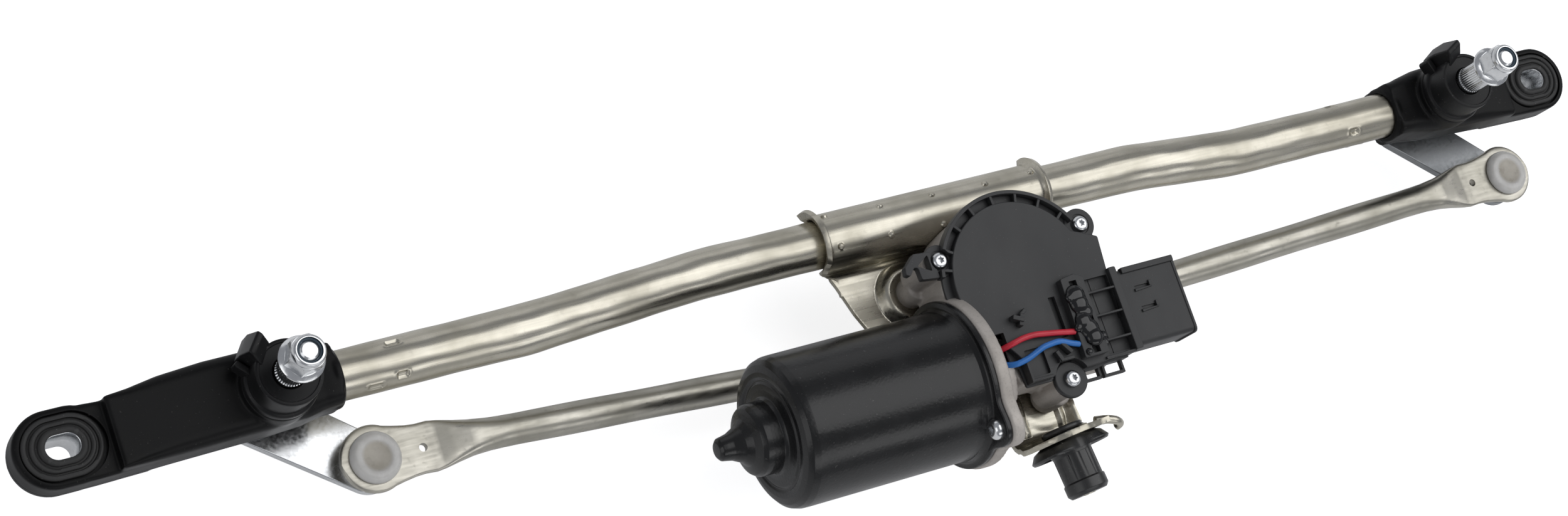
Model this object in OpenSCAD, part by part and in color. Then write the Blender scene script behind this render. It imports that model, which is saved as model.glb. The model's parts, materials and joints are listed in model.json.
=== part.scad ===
// Windshield wiper assembly: a tubular frame that carries a geared motor, a crank,
// two link rods and two wiper pivots. Units are millimetres.
// Origin: axis of the motor's output shaft, at the height of the frame tube's axis.
// +X runs along the tube, +Y from the shaft towards the tube, +Z along the pivot
// shafts towards the wiper arms.

/* [Frame tube] */
// Outside diameter of the frame tube
tube_d = 20; // [18:0.5:21]
// Wall thickness of the frame tube
tube_wall = 1.5; // [1:0.1:2.5]
// Distance from the output shaft to the middle run of the tube, along Y
tube_y = 39.5; // [39:0.5:42]
// How far both tube ends are offset towards the output shaft
end_drop = 4.6; // [2:0.1:6]

/* [Wiper pivots] */
// Distance from the output shaft to the left pivot, along X
left_reach = 308.5; // [280:0.5:330]
// Distance from the output shaft to the right pivot, along X
right_reach = 256; // [235:0.5:280]
// Diameter of both pivot shafts
shaft_d = 12; // [11:0.5:13]
// Distance from the left pivot to its mounting eye, along X
left_arm = 81.5; // [70:0.5:95]
// Distance from the right pivot to its mounting eye, along X
right_arm = 56; // [53:0.5:66]

/* [Levers and links] */
// Length of the left lever, pivot to ball
left_lever_len = 48.96; // [45:0.01:52]
// Length of the right lever, pivot to ball
right_lever_len = 55.15; // [50:0.01:58]
// Angle of the left lever at rest, from +X
left_lever_angle = -39.3; // [-45:0.1:-35]
// Angle of the right lever at rest, from +X
right_lever_angle = -42.3; // [-48:0.1:-38]
// Diameter of the link rods
link_d = 12.7; // [11:0.1:13]
// Diameter of the balls in the link sockets
ball_d = 13; // [12:0.5:13.5]

/* [Crank] */
// Crank radius, shaft to ball pin
crank_r = 34.82; // [32:0.01:36]
// Crank angle at rest, from +X
crank_angle = -12.44; // [-20:0.01:0]

/* [Motor and gearbox] */
// Outside diameter of the motor can
can_d = 62.2; // [58:0.2:63]
// Length of the can's straight body
can_len = 84.5; // [80:0.5:95]
// Number of teeth on the worm wheel
wheel_teeth = 60; // [60]
// Pitch radius of the worm wheel
wheel_pitch_r = 27.5; // [27.5]
// Pitch radius of the worm
worm_pitch_r = 5.4; // [5.4]

/* [Hidden] */
$fn = 64;
eps = 0.01;
run = 0.04;         // radial clearance of a turning fit
seat = 0.05;        // clearance between pieces that only touch

tube_r = tube_d / 2;
bore_r = tube_r - tube_wall;
pivot_y = tube_y - end_drop;
left_x = -left_reach;
right_x = right_reach;
shaft_r = shaft_d / 2;
ball_r = ball_d / 2;
link_r = link_d / 2;

// Heights along Z
lever_top = -28;
lever_t = 4;
ball_z = -20;
housing_lo = -12;
housing_hi = 11;
hub_lo = -22;
cap_top = 30;
knurl_top = 46;
shaft_top = 61;
plate_hi = -7.5;
plate_t = 2.5;
plate_lo = plate_hi - plate_t;
crank_top = -16;
crank_t = 5;
crank_lo = crank_top - crank_t;
right_pin_z = -36;
left_pin_z = -52;
worm_z = 12;
worm_y = -(wheel_pitch_r + worm_pitch_r);
cover_lo = 26;
cover_base = 28.5;
cover_hi = 32;

// Places of the moving joints
left_ball = [left_x + left_lever_len * cos(left_lever_angle),
    pivot_y + left_lever_len * sin(left_lever_angle)];
right_ball = [right_x + right_lever_len * cos(right_lever_angle),
    pivot_y + right_lever_len * sin(right_lever_angle)];
crank_end = crank_r * [cos(crank_angle), sin(crank_angle)];

// Colours
zinc = [0.66, 0.64, 0.58];
bright_zinc = [0.78, 0.79, 0.8];
black_metal = [0.06, 0.06, 0.065];
black_plastic = [0.1, 0.1, 0.105];
cast_alloy = [0.62, 0.6, 0.57];
nylon = [0.88, 0.88, 0.86];
rubber = [0.05, 0.05, 0.05];
bronze = [0.55, 0.42, 0.25];
copper = [0.72, 0.4, 0.2];
steel = [0.55, 0.55, 0.57];

// A cylinder along X from x0 to x1
module rod_x(x0, x1, r, y = 0, z = 0) {
    translate([x0, y, z]) rotate([0, 90, 0]) cylinder(h = x1 - x0, r = r);
}

// A straight round bar between two points
module bar(a, b, r) {
    d = b - a;
    flat = norm([d[0], d[1]]);
    translate(a)
        rotate([0, atan2(flat, d[2]), atan2(d[1], d[0])])
            cylinder(h = norm(d), r = r);
}

// A round plate between two heights
module disc(z0, z1, r, at = [0, 0]) {
    translate([at[0], at[1], z0]) cylinder(h = z1 - z0, r = r);
}

// A flat bar outline with round ends
module strap(a, b, ra, rb) {
    hull() {
        translate(a) circle(ra);
        translate(b) circle(rb);
    }
}

// ---------- frame ----------

tube_left_end = left_x + 21;
tube_right_end = right_x - 19;
bend_x = [tube_left_end, left_x + 106.5, left_x + 186.5,
    right_x - 168, right_x - 115, tube_right_end];
bend_y = [pivot_y, pivot_y, tube_y, tube_y, pivot_y, pivot_y];

// One straight run of the tube between two bends, cut square to the bend's bisector
module tube_run(i, r, extra) {
    a = [bend_x[i], bend_y[i], 0];
    b = [bend_x[i + 1], bend_y[i + 1], 0];
    step = (b - a) / norm(b - a) * 5;
    first = i == 0;
    last = i == 4;
    intersection() {
        bar(first ? a - [extra, 0, 0] : a - step, last ? b + [extra, 0, 0] : b + step, r);
        if (!first) past_bend(i);
        if (!last) before_bend(i + 1);
    }
}

// Direction of the tube between bends i and i + 1
function run_angle(i) = atan2(bend_y[i + 1] - bend_y[i], bend_x[i + 1] - bend_x[i]);
function mitre_angle(i) = (run_angle(i - 1) + run_angle(i)) / 2;
half = 300;

// Everything to the right of a bend's mitre plane
module past_bend(i) {
    translate([bend_x[i], bend_y[i], 0])
        rotate([0, 0, mitre_angle(i)])
            translate([0, -half / 2, -half / 2]) cube([2 * half, half, half]);
}

// Everything to the left of a bend's mitre plane
module before_bend(i) {
    translate([bend_x[i], bend_y[i], 0])
        rotate([0, 0, mitre_angle(i)])
            translate([-2 * half, -half / 2, -half / 2]) cube([2 * half, half, half]);
}

module tube_path(r, extra) {
    for (i = [0 : 4]) tube_run(i, r, extra);
}

module frame_tube() {
    color(zinc)
    difference() {
        tube_path(tube_r, 0);
        tube_path(bore_r, 1);
    }
}

saddle_x0 = -71;
saddle_x1 = 38;
saddle_r = tube_r + seat;
saddle_t = 2.2;
saddle_wrap = 235;
flare = 3;
pillar_at = [[-32, 11], [34, 12], [12, -46]];
pillar_r = 6.5;
collar_r = 13;
tab_y = -63.5;
tab_tilt = 5;
isolator_x = 9.5;
isolator_z = 4;

// The part of the bracket that wraps the tube, with a flared lip at both ends
module saddle() {
    len = saddle_x1 - saddle_x0;
    outer = saddle_r + saddle_t;
    translate([saddle_x0, tube_y, 0])
        rotate([0, 90, 0])
            rotate([0, 0, 80])
                rotate_extrude(angle = saddle_wrap)
                    polygon([[saddle_r, flare], [saddle_r + flare, 0],
                        [outer + flare, 0], [outer, flare],
                        [outer, len - flare], [outer + flare, len],
                        [saddle_r + flare, len], [saddle_r, len - flare]]);
}

module bracket_outline() {
    // the notch at the left clears the motor and its flange
    polygon([[saddle_x0 + 7, 32], [saddle_x0 + 10, 24], [-56, 6], [-53.9, 0.8],
        [-29.4, 0.8], [-29.4, -44.2], [-8, -52], [-8, tab_y], [26, tab_y], [24, -50], [30, -38], [44, -20],
        [48, 4], [40, 22], [saddle_x1 - 6, 32]]);
}

module bracket_plate() {
    color(zinc)
    difference() {
        union() {
            difference() {
                saddle();
                translate([saddle_x0 - 1, 20, -20])
                    cube([saddle_x1 - saddle_x0 + 2, 20, 20 + plate_lo]);
            }
            translate([0, 0, plate_lo])
                linear_extrude(plate_t) bracket_outline();
            for (p = pillar_at)
                disc(plate_hi - eps, plate_hi + 2, collar_r - 3, p);
            translate([isolator_x, tab_y, 0])
                rotate([0, 0, tab_tilt])
                    rotate([90, 0, 0])
                        linear_extrude(plate_t) tab_outline();
            stiffening_ribs();
        }
        disc(plate_lo - 1, plate_hi + 1, 14.5);
        for (p = pillar_at)
            disc(plate_lo - 1, plate_hi + 3, 3.2, p);
        translate([isolator_x, tab_y, isolator_z])
            rotate([0, 0, tab_tilt])
                rotate([-90, 0, 0])
                    translate([0, 0, -10]) cylinder(h = 20, r = 6.05);
    }
}

module tab_outline() {
    translate([0, isolator_z]) circle(17);
    translate([-17, plate_lo]) square([34, isolator_z - plate_lo]);
    translate([12, isolator_z + 9]) square([16, 5]);
    translate([25, isolator_z + 4]) square([3, 6]);
}

module stiffening_ribs() {
    for (x = [-2, 16])
        translate([x, -61, plate_hi - eps])
            cube([3, 19, 1.6]);
    translate([22.5, -61, plate_hi - eps]) cube([2, 14, 4]);
}

// ---------- pivot housings ----------

eye_r = 15.2;
eye_stretch = 3.8;
// The eyes sit a little towards the output shaft from the pivots
eye_y = pivot_y - 1.6;
eye_top = housing_hi - 8.5;
hub_r = 15;
hole_r = 9.6;
hole_stretch = 3.4;
slot_w = 9;
slot_l = 13;

// An oval with flat sides, longer along X by twice the stretch
module oval(r, stretch) {
    for (s = [-1, 1]) translate([s * stretch, 0]) circle(r);
    translate([-stretch, -r]) square([2 * stretch, 2 * r]);
}

module oval_disc(z0, z1, r, stretch) {
    translate([0, 0, z0]) linear_extrude(z1 - z0) oval(r, stretch);
}

// side is -1 on the left and 1 on the right; arm is the pivot-to-eye distance
module housing_outline(side, arm) {
    scale([side, 1]) {
        polygon([[-30, -11.5], [-22, -12], [-12, -14.5], [8, -15.8], [arm * 0.5, -16.4],
            [arm - 19, -15.9], [arm - 5, -16], [arm - 5, 12.8], [arm - 19, 12.4],
            [arm * 0.6, 13.8], [arm * 0.4, 15.8], [4, 17.5], [-12, 17], [-22, 13],
            [-30, 11.5]]);
        translate([arm, -1.6]) oval(eye_r, eye_stretch);
    }
}

module housing(x, side, arm) {
    color(black_metal)
    difference() {
        union() {
            translate([x, pivot_y, housing_lo])
                linear_extrude(housing_hi - housing_lo)
                    housing_outline(side, arm);
            disc(hub_lo, housing_hi + 4, hub_r, [x, pivot_y]);
            disc(housing_hi, cap_top - 3, shaft_r + 4.2, [x, pivot_y]);
        }
        // lowered eye face
        translate([x + side * (arm + 4.5) - 24.5, pivot_y - 25, eye_top])
            cube([49, 50, 14]);
        translate([x + side * arm, eye_y])
            oval_disc(housing_lo - 1, housing_hi + 1, hole_r, hole_stretch);
        disc(hub_lo - 1, cap_top, shaft_r + 2, [x, pivot_y]);
        rod_x(side > 0 ? x - 40 : x + 11, side > 0 ? x - 11 : x + 40, tube_r + seat, pivot_y);
        // hollow underside of the arm
        translate([x + side * (arm / 2 - 1) - 12, pivot_y - 14, housing_lo - 1])
            cube([24, 24, 16]);
    }
}

module left_housing() { housing(left_x, -1, left_arm); }
module right_housing() { housing(right_x, 1, right_arm); }

module bush(x) {
    color(bronze)
    difference() {
        disc(hub_lo, cap_top - 3, shaft_r + 2 - 0.01, [x, pivot_y]);
        disc(hub_lo - 1, cap_top, shaft_r + run, [x, pivot_y]);
    }
}

module left_bush() { bush(left_x); }
module right_bush() { bush(right_x); }

cap_r = 13.2;
cap_lo = housing_hi + 4 + seat;

// Plastic cap over the hub, with a finger tab on its upper left
module pivot_cap(x) {
    color(black_plastic)
    difference() {
        union() {
            disc(cap_lo, cap_top, cap_r, [x, pivot_y]);
            disc(cap_lo, cap_lo + 9, cap_r + 1.3, [x, pivot_y]);
            translate([x, pivot_y, cap_lo])
                rotate([0, 0, 130])
                    translate([cap_r - 2.5, -4, 0]) {
                        cube([9, 8, cap_top - cap_lo + 3]);
                        translate([0, 3, 0]) cube([6, 9, cap_top - cap_lo - 3]);
                    }
        }
        disc(cap_lo - 1, cap_top - 2.5, shaft_r + 4.2 + seat, [x, pivot_y]);
        disc(cap_top - 4, cap_top + 1, shaft_r + 0.5, [x, pivot_y]);
    }
}

module left_pivot_cap() { pivot_cap(left_x); }
module right_pivot_cap() { pivot_cap(right_x); }

sleeve_wall = 1.2;

module slot_shape(grow) {
    offset_x = (slot_l - slot_w) / 2;
    for (s = [-1, 1])
        translate([s * offset_x, 0]) circle(slot_w / 2 + grow);
    translate([-offset_x, -slot_w / 2 - grow]) square([2 * offset_x, slot_w + 2 * grow]);
}

module grommet(x) {
    color(rubber)
    translate([x, eye_y, 0])
    difference() {
        union() {
            oval_disc(housing_lo - 3, eye_top + 3, hole_r - seat, hole_stretch);
            oval_disc(eye_top + seat, eye_top + 3, hole_r + 2.6, hole_stretch);
            oval_disc(housing_lo - 3, housing_lo - seat, hole_r + 2.6, hole_stretch);
        }
        translate([0, 0, housing_lo - 4])
            linear_extrude(30) slot_shape(sleeve_wall + seat);
        // ring grooves in the upper face
        difference() {
            oval_disc(eye_top + 2, eye_top + 6, hole_r + 0.7, hole_stretch);
            oval_disc(eye_top + 1, eye_top + 7, hole_r - 1, hole_stretch);
        }
    }
}

module left_grommet() { grommet(left_x - left_arm); }
module right_grommet() { grommet(right_x + right_arm); }

module mount_sleeve(x) {
    color(bright_zinc)
    translate([x, eye_y, housing_lo - 3.5])
    difference() {
        linear_extrude(eye_top - housing_lo + 7) slot_shape(sleeve_wall);
        translate([0, 0, -1]) linear_extrude(40) slot_shape(0);
    }
}

module left_mount_sleeve() { mount_sleeve(left_x - left_arm); }
module right_mount_sleeve() { mount_sleeve(right_x + right_arm); }

// ---------- rubber isolator on the lower tab ----------

module at_isolator() {
    translate([isolator_x, tab_y, isolator_z])
        rotate([0, 0, tab_tilt])
            rotate([90, 0, 0])
                children();
}

post_len = 27;
post_r = 8.5;

module isolator_rubber() {
    color(rubber)
    at_isolator()
    difference() {
        union() {
            rotate_extrude()
                polygon([[0, plate_t + seat], [15.5, plate_t + seat], [15.5, plate_t + 2.5],
                    [12, plate_t + 4], [post_r + 1.5, plate_t + 6.5], [post_r, plate_t + 10],
                    [post_r, post_len - 2.5], [post_r - 2.5, post_len], [0, post_len]]);
            translate([0, 0, -2.5]) cylinder(h = plate_t + 3, r = 6);
            translate([0, 0, -2.5]) cylinder(h = 2.5 - seat, r = 9);
        }
        translate([0, 0, -3]) cylinder(h = post_len + 4, r = 3);
    }
}

module isolator_insert() {
    color(zinc)
    at_isolator()
    translate([0, 0, -2.8])
    difference() {
        cylinder(h = post_len + 3.2, r = 3 - 0.01);
        translate([0, 0, -1]) cylinder(h = 12, r = 1.6);
    }
}

module thrust_washers() {
    color(steel)
    for (x = [left_x, right_x])
        difference() {
            disc(hub_lo - 1.2, hub_lo - seat, shaft_r + 4, [x, pivot_y]);
            disc(hub_lo - 2, hub_lo + 1, shaft_r + 0.3, [x, pivot_y]);
        }
}

// ---------- wiper shafts and levers ----------

module pivot_shaft(x) {
    color(bright_zinc)
    translate([x, pivot_y, 0]) {
        disc(lever_top - lever_t - 1.5, cap_top + 1, shaft_r);
        translate([0, 0, cap_top + 1])
            linear_extrude(knurl_top - cap_top - 1)
                difference() {
                    circle(shaft_r);
                    for (i = [0 : 35])
                        rotate([0, 0, i * 10])
                            translate([shaft_r, 0]) circle(r = 0.32, $fn = 4);
                }
        disc(knurl_top - eps, shaft_top, 4);
    }
}

module left_pivot_shaft() { pivot_shaft(left_x); }
module right_pivot_shaft() { pivot_shaft(right_x); }

// Flange nut with a locking collar
module shaft_nut(x) {
    color(bright_zinc)
    translate([x, pivot_y, knurl_top + 0.5])
    difference() {
        union() {
            cylinder(h = 2, r = 8.9);
            cylinder(h = 9.5, r = 7.5, $fn = 6);
            cylinder(h = 13, r = 6.4);
        }
        translate([0, 0, -1]) cylinder(h = 16, r = 4.005);
    }
}

module left_shaft_nut() { shaft_nut(left_x); }
module right_shaft_nut() { shaft_nut(right_x); }

module lever(x, ball) {
    color(bright_zinc)
    difference() {
        translate([0, 0, lever_top - lever_t])
            linear_extrude(lever_t)
                strap([x, pivot_y], ball, 12.5, 11.5);
        disc(lever_top - lever_t - 1, lever_top + 1, shaft_r + 0.005, [x, pivot_y]);
        disc(lever_top - lever_t - 1, lever_top + 1, 4.005, ball);
    }
}

module left_lever() { lever(left_x, left_ball); }
module right_lever() { lever(right_x, right_ball); }

module ball_stud(at) {
    color(steel)
    translate([at[0], at[1], 0]) {
        disc(lever_top - lever_t - 1.2, lever_top + 0.5, 4);
        disc(lever_top, lever_top + 1.2, 7);
        disc(lever_top, ball_z, 4);
        translate([0, 0, ball_z]) sphere(ball_r);
    }
}

module left_ball_stud() { ball_stud(left_ball); }
module right_ball_stud() { ball_stud(right_ball); }

// ---------- links ----------

eye_plate_r = 13.6;
eye_t = 3.4;
rod_start = 46;
socket_r = 9.6;

// One flattened rod end: a flat eye that swells into the round rod
module link_end(at, z, toward) {
    a = atan2(toward[1] - at[1], toward[0] - at[0]);
    translate([at[0], at[1], z])
        rotate([0, 0, a]) {
            disc(-eye_t / 2, eye_t / 2, eye_plate_r);
            translate([0, 0, -eye_t / 2])
                linear_extrude(eye_t)
                    polygon([[0, -eye_plate_r + 0.5], [0, eye_plate_r - 0.5],
                        [16, 9.5], [rod_start - 14, 8.5], [rod_start - 14, -8.5], [16, -9.5]]);
            hull() {
                translate([rod_start - 16, -8.5, -eye_t / 2]) cube([1, 17, eye_t]);
                translate([rod_start, 0, 0])
                    rotate([0, 90, 0]) cylinder(h = 1, r = link_r - 0.3, $fn = 32);
            }
        }
}

function along(a, b, d) = a + (b - a) * d / norm(b - a);

module link(from, from_z, to, to_z) {
    start = along(from, to, rod_start - 0.5);
    finish = along(to, from, rod_start - 0.5);
    color(steel)
    difference() {
        union() {
            link_end(from, from_z, to);
            link_end(to, to_z, from);
            bar([start[0], start[1], from_z], [finish[0], finish[1], to_z], link_r);
        }
        disc(from_z - 9, from_z + 9, socket_r + 0.005, from);
        disc(to_z - 9, to_z + 9, socket_r + 0.005, to);
        disc(from_z - 9, from_z + 9, 1.6, along(from, to, 20));
    }
}

module left_link() { link(left_ball, ball_z, crank_end, left_pin_z); }
module right_link() { link(right_ball, ball_z, crank_end, right_pin_z); }

// Nylon ball socket: up is 1 when the closed end faces +Z, -1 when it faces -Z
module socket(at, z, up) {
    color(nylon)
    translate([at[0], at[1], z])
        scale([1, 1, up])
            difference() {
                union() {
                    translate([0, 0, -5.5]) cylinder(h = 13, r = socket_r);
                    translate([0, 0, 7.5]) cylinder(h = 1, r = socket_r - 1.2);
                    translate([0, 0, eye_t / 2 + seat]) cylinder(h = 3.5, r = socket_r + 0.9);
                }
                sphere(ball_r + run);
                translate([0, 0, -6]) cylinder(h = 6, r = ball_r - 1.2);
            }
}

module left_link_cap() { socket(left_ball, ball_z, 1); }
module right_link_cap() { socket(right_ball, ball_z, 1); }
module left_crank_socket() { socket(crank_end, left_pin_z, -1); }

// The upper crank socket is open at both ends, because the pin passes through it
module right_crank_socket() {
    color(nylon)
    translate([crank_end[0], crank_end[1], right_pin_z])
    difference() {
        union() {
            translate([0, 0, -5.5]) cylinder(h = 11, r = socket_r);
            translate([0, 0, eye_t / 2 + seat]) cylinder(h = 2.5, r = socket_r + 0.9);
        }
        sphere(ball_r + run);
        translate([0, 0, -6]) cylinder(h = 12, r = ball_r - 1.2);
    }
}

gap = 0.3;
stub_lo = right_pin_z + 6.5 + gap;

// The three sections of the double ball pin under the crank
module crank_pin() {
    color(steel)
    translate([crank_end[0], crank_end[1], 0]) {
        disc(stub_lo, crank_lo, 5.6);
        disc(crank_lo - eps, crank_top + 1.5, 4);
    }
}

module right_crank_ball() {
    color(steel)
    translate([crank_end[0], crank_end[1], 0]) {
        translate([0, 0, right_pin_z]) sphere(ball_r);
        disc(right_pin_z, stub_lo - gap, 4);
        disc(right_pin_z - 8, right_pin_z, 4);
    }
}

module left_crank_ball() {
    color(steel)
    translate([crank_end[0], crank_end[1], 0]) {
        translate([0, 0, left_pin_z]) sphere(ball_r);
        disc(left_pin_z, right_pin_z - 8 - gap, 4);
    }
}

// ---------- crank and output gear ----------

module output_shaft() {
    color(steel) {
        disc(crank_lo - 8, crank_lo, 5);
        disc(crank_lo - eps, cover_base - 4, shaft_r);
    }
}

module crank_arm() {
    color(bright_zinc)
    difference() {
        translate([0, 0, crank_lo])
            linear_extrude(crank_t) strap([0, 0], crank_end, 11, 7.6);
        disc(crank_lo - 1, crank_top + 1, shaft_r + 0.005);
        disc(crank_lo - 1, crank_top + 1, 4.005, crank_end);
    }
}

module crank_nut() {
    color(bright_zinc)
    difference() {
        union() {
            translate([0, 0, crank_lo - 7]) cylinder(h = 7 - seat, r = 9.8, $fn = 6);
            translate([0, 0, crank_lo - 1.5]) cylinder(h = 1.5 - seat, r = 10.5);
        }
        disc(crank_lo - 9, crank_lo + 1, 5.005);
    }
}

lead = 2 * PI * wheel_pitch_r / wheel_teeth;
wheel_lo = worm_z - 4;
wheel_hi = worm_z + 4;
wheel_tip = wheel_pitch_r + 0.9;
wheel_root = wheel_pitch_r - 1.2;
worm_tip = worm_pitch_r + 0.9;
worm_root = worm_pitch_r - 1.1;

// One gear tooth as a trapezoid, pointing along +X
module tooth() {
    half_root = 0.25 * lead;
    half_tip = 0.1 * lead;
    polygon([[wheel_root - 0.5, -half_root], [wheel_root, -half_root],
        [wheel_tip, -half_tip], [wheel_tip, half_tip],
        [wheel_root, half_root], [wheel_root - 0.5, half_root]]);
}

module worm_wheel() {
    color(nylon)
    difference() {
        translate([0, 0, wheel_lo])
            linear_extrude(wheel_hi - wheel_lo) {
                circle(wheel_root);
                for (i = [0 : wheel_teeth - 1])
                    rotate([0, 0, -90 + i * 360 / wheel_teeth]) tooth();
            }
        disc(wheel_lo - 1, wheel_hi + 1, shaft_r + 0.005);
        difference() {
            disc(wheel_hi - 2, wheel_hi + 1, wheel_root - 3);
            disc(wheel_hi - 3, wheel_hi + 1, 11);
        }
    }
}

module contact_disc() {
    color(copper)
    difference() {
        disc(wheel_hi - 2 + seat, wheel_hi - 1, wheel_root - 4);
        disc(wheel_hi - 3, wheel_hi + 1, 12.5);
        translate([0, 0, wheel_hi - 3])
            rotate([0, 0, 40]) cube([30, 5, 4]);
    }
}

// ---------- gear housing and cover ----------

gear_r = 35;
gear_wall = 3;
screw_at = [[-33.5, 15], [36, 15.5], [6.5, -46]];
flange_x = -36;
flange_t = 6;
can_ear = [[-25.2, 24.7], [25.2, -24.7]];
saddle_clear = saddle_r + saddle_t + 0.15;
pin_at = [for (y = [-32, -24, -16], z = [18, 25]) [y, z]];

// Flange outline in the plane of the can's mouth: local x is part Y, local y is part Z
module flange_outline(r, ear) {
    circle(r);
    for (e = can_ear)
        strap([0, 0], e * 1.02, 26, ear);
}

// Turns an outline drawn in (Y, Z) about the worm axis into a plate along X
module across_x(x0, t) {
    translate([x0, worm_y, worm_z])
        rotate([90, 0, 90])
            linear_extrude(t) children();
}

module gearbox_outline(shrink) {
    circle(gear_r - shrink);
    polygon([[0, 20], [36, 15.5 - shrink], [39 - shrink, 8], [39 - shrink, -40 + shrink],
        [20, -44 + shrink], [-14 + shrink, -43.5 + shrink], [-24, -24]]);
    for (p = screw_at)
        translate(p) circle(6.2 - shrink);
}

// Flange and neck that the motor bolts to
module motor_neck(extra) {
    across_x(flange_x - extra, flange_t + 2 * extra) flange_outline(35.6 + extra, 7.2 + extra);
    rod_x(flange_x, -18 + extra, 19.3 + extra, worm_y, worm_z);
}

module gear_housing() {
    color(cast_alloy)
    difference() {
        union() {
            translate([0, 0, 2])
                linear_extrude(cover_lo - seat - 2) gearbox_outline(0.5);
            disc(-13, 3, 12);
            for (p = pillar_at)
                disc(plate_hi + 2, 6, pillar_r, p);
            rod_x(flange_x, 33, 11, worm_y, worm_z);
            motor_neck(0);
        }
        // the chamber keeps a thin wall beside the bracket's saddle
        difference() {
            disc(5, cover_lo + 1, 30.5);
            rod_x(-40, 40, saddle_clear + 0.95, tube_y, 0);
        }
        rod_x(-60, 60, saddle_clear, tube_y, 0);
        disc(-14, 6, 8);
        rod_x(flange_x - 1, 28, 6.8, worm_y, worm_z);
        rod_x(flange_x - 1, -24, 16.5, worm_y, worm_z);
        for (p = pillar_at)
            disc(plate_hi + 1, 4, 2.6, p);
        for (p = screw_at)
            disc(cover_lo - 12, cover_lo + 1, 1.7, p);
        for (e = can_ear)
            rod_x(flange_x - 1, flange_x + 8, 2.1, worm_y + e[0], worm_z + e[1]);
        // cable outlet beside the flange
        translate([-26, -35, cover_lo - 8]) cube([8, 14, 20]);
        // notch in the lower flange ear, clear of the crank at the end of its half turn
        translate([flange_x - 1, -4, crank_lo - 1]) cube([8, 20, crank_t + 1.6]);
    }
}

module output_bush() {
    color(bronze)
    difference() {
        disc(-12.9, 6.9, 8 - 0.01);
        disc(-14, 8, shaft_r + run);
    }
}

module cover_gasket() {
    color(rubber)
    difference() {
        translate([0, 0, cover_lo])
            cylinder(h = 0.9, r = 32.6);
        disc(cover_lo - 1, cover_lo + 2, 31);
        // open beside the motor's flange and neck
        translate([-40, -40, cover_lo - 1]) cube([23, 40.4, 4]);
    }
}

cover_r = 35.6;
plateau_r = 31.2;
boss_r = 7.7;
boss_top = 29.5;

module cover_outline() {
    circle(cover_r);
    polygon([[0, 20], [36, 21], [41.5, 9], [40, -7], [38, -41.5], [20, -44.5],
        [-14, -44.5], [-14.5, -36], [-24, -27]]);
    for (p = [screw_at[0], screw_at[1]])
        translate(p) circle(7);
    // hooked clip tab
    polygon([[-38, 19], [-46, 19], [-51, 14], [-49, 12], [-45, 15], [-44, 9], [-36, 9]]);
}

module plateau_outline() {
    intersection() {
        union() {
            circle(plateau_r);
            polygon([[8, 24], [30, 12], [40.7, 8.5], [39.2, -7.5], [37.2, -41],
                [20, -43.5], [-13, -43.5], [-13.5, -34], [-22, -22]]);
        }
        circle(60);
    }
}

conn_x0 = 38.5;
conn_x1 = 72.5;
conn_y0 = -40.5;
conn_y1 = -7.5;
conn_z0 = 12;
conn_z1 = 30.5;

module connector_shell() {
    difference() {
        union() {
            translate([conn_x0, conn_y0, conn_z0])
                cube([conn_x1 - conn_x0, conn_y1 - conn_y0, conn_z1 - conn_z0]);
            translate([conn_x0, conn_y0 - 1.5, conn_z0 - 1])
                cube([3.5, conn_y1 - conn_y0 + 3, conn_z1 - conn_z0 + 2]);
            translate([conn_x1 - 10, conn_y0 + 12, conn_z1 - eps])
                cube([10, 9, 1.2]);
        }
        translate([conn_x0 + 8, conn_y0 + 2, conn_z0 + 2])
            cube([conn_x1 - conn_x0, conn_y1 - conn_y0 - 4, conn_z1 - conn_z0 - 4]);
        for (p = [[50, -17], [50, -26]])
            translate([p[0], p[1], conn_z1 - 1]) cube([7, 1.2, 3]);
        for (p = pin_at)
            translate([conn_x0 + 4 - seat, p[0] - 1 - seat, p[1] - 0.4 - seat])
                cube([6, 2 + 2 * seat, 0.8 + 2 * seat]);
    }
}

module gear_cover() {
    color(black_plastic)
    difference() {
        union() {
            difference() {
                translate([0, 0, cover_lo + 1])
                    linear_extrude(cover_base - cover_lo - 1) cover_outline();
                translate([0, 0, cover_lo]) disc(0, 1, 20);
            }
            translate([0, 0, cover_base - eps])
                linear_extrude(cover_hi - cover_base) plateau_outline();
            rim_wall();
            disc(cover_lo + 1, boss_top, boss_r, screw_at[2]);
            connector_shell();
            translate([30, conn_y0, cover_lo + 1])
                cube([10, conn_y1 - conn_y0, cover_base - cover_lo]);
            for (y = [-14.2, -24.3, -35])
                translate([25, y - 0.7, cover_hi - eps]) cube([13.5, 1.4, 1.3]);
            potting_tower();
        }
        disc(cover_lo, cover_hi - 2.5, 29);
        for (p = screw_at)
            disc(cover_lo - 1, cover_hi + 3, 2.1, p);
        difference() {
            disc(boss_top, cover_hi + 3, boss_r + 0.6, screw_at[2]);
            translate([-20, screw_at[2][1] + 5, 0]) cube([60, 20, 60]);
        }
        for (i = [0, 1])
            disc(cover_base, cover_hi + 3, 4.6, screw_at[i]);
        translate([-27, -35.3, cover_lo]) cube([12.4, 14.8, 10]);
        motor_neck(0.15);
        for (y = [-9.5, -37.5])
            translate([17, y - 1.2, cover_hi]) cube([3, 2.4, 6]);
    }
}

// Raised wall around the upper edge, joined to the plateau by short ribs
module rim_wall() {
    translate([0, 0, cover_base - eps]) {
        rotate([0, 0, 22])
            rotate_extrude(angle = 140)
                translate([cover_r - 1.7, 0]) square([1.5, cover_hi - cover_base - 0.3]);
        for (a = [40 : 19 : 154])
            rotate([0, 0, a])
                translate([plateau_r - 1, -0.6, 0])
                    cube([cover_r - plateau_r, 1.2, cover_hi - cover_base - 0.6]);
    }
}

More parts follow.
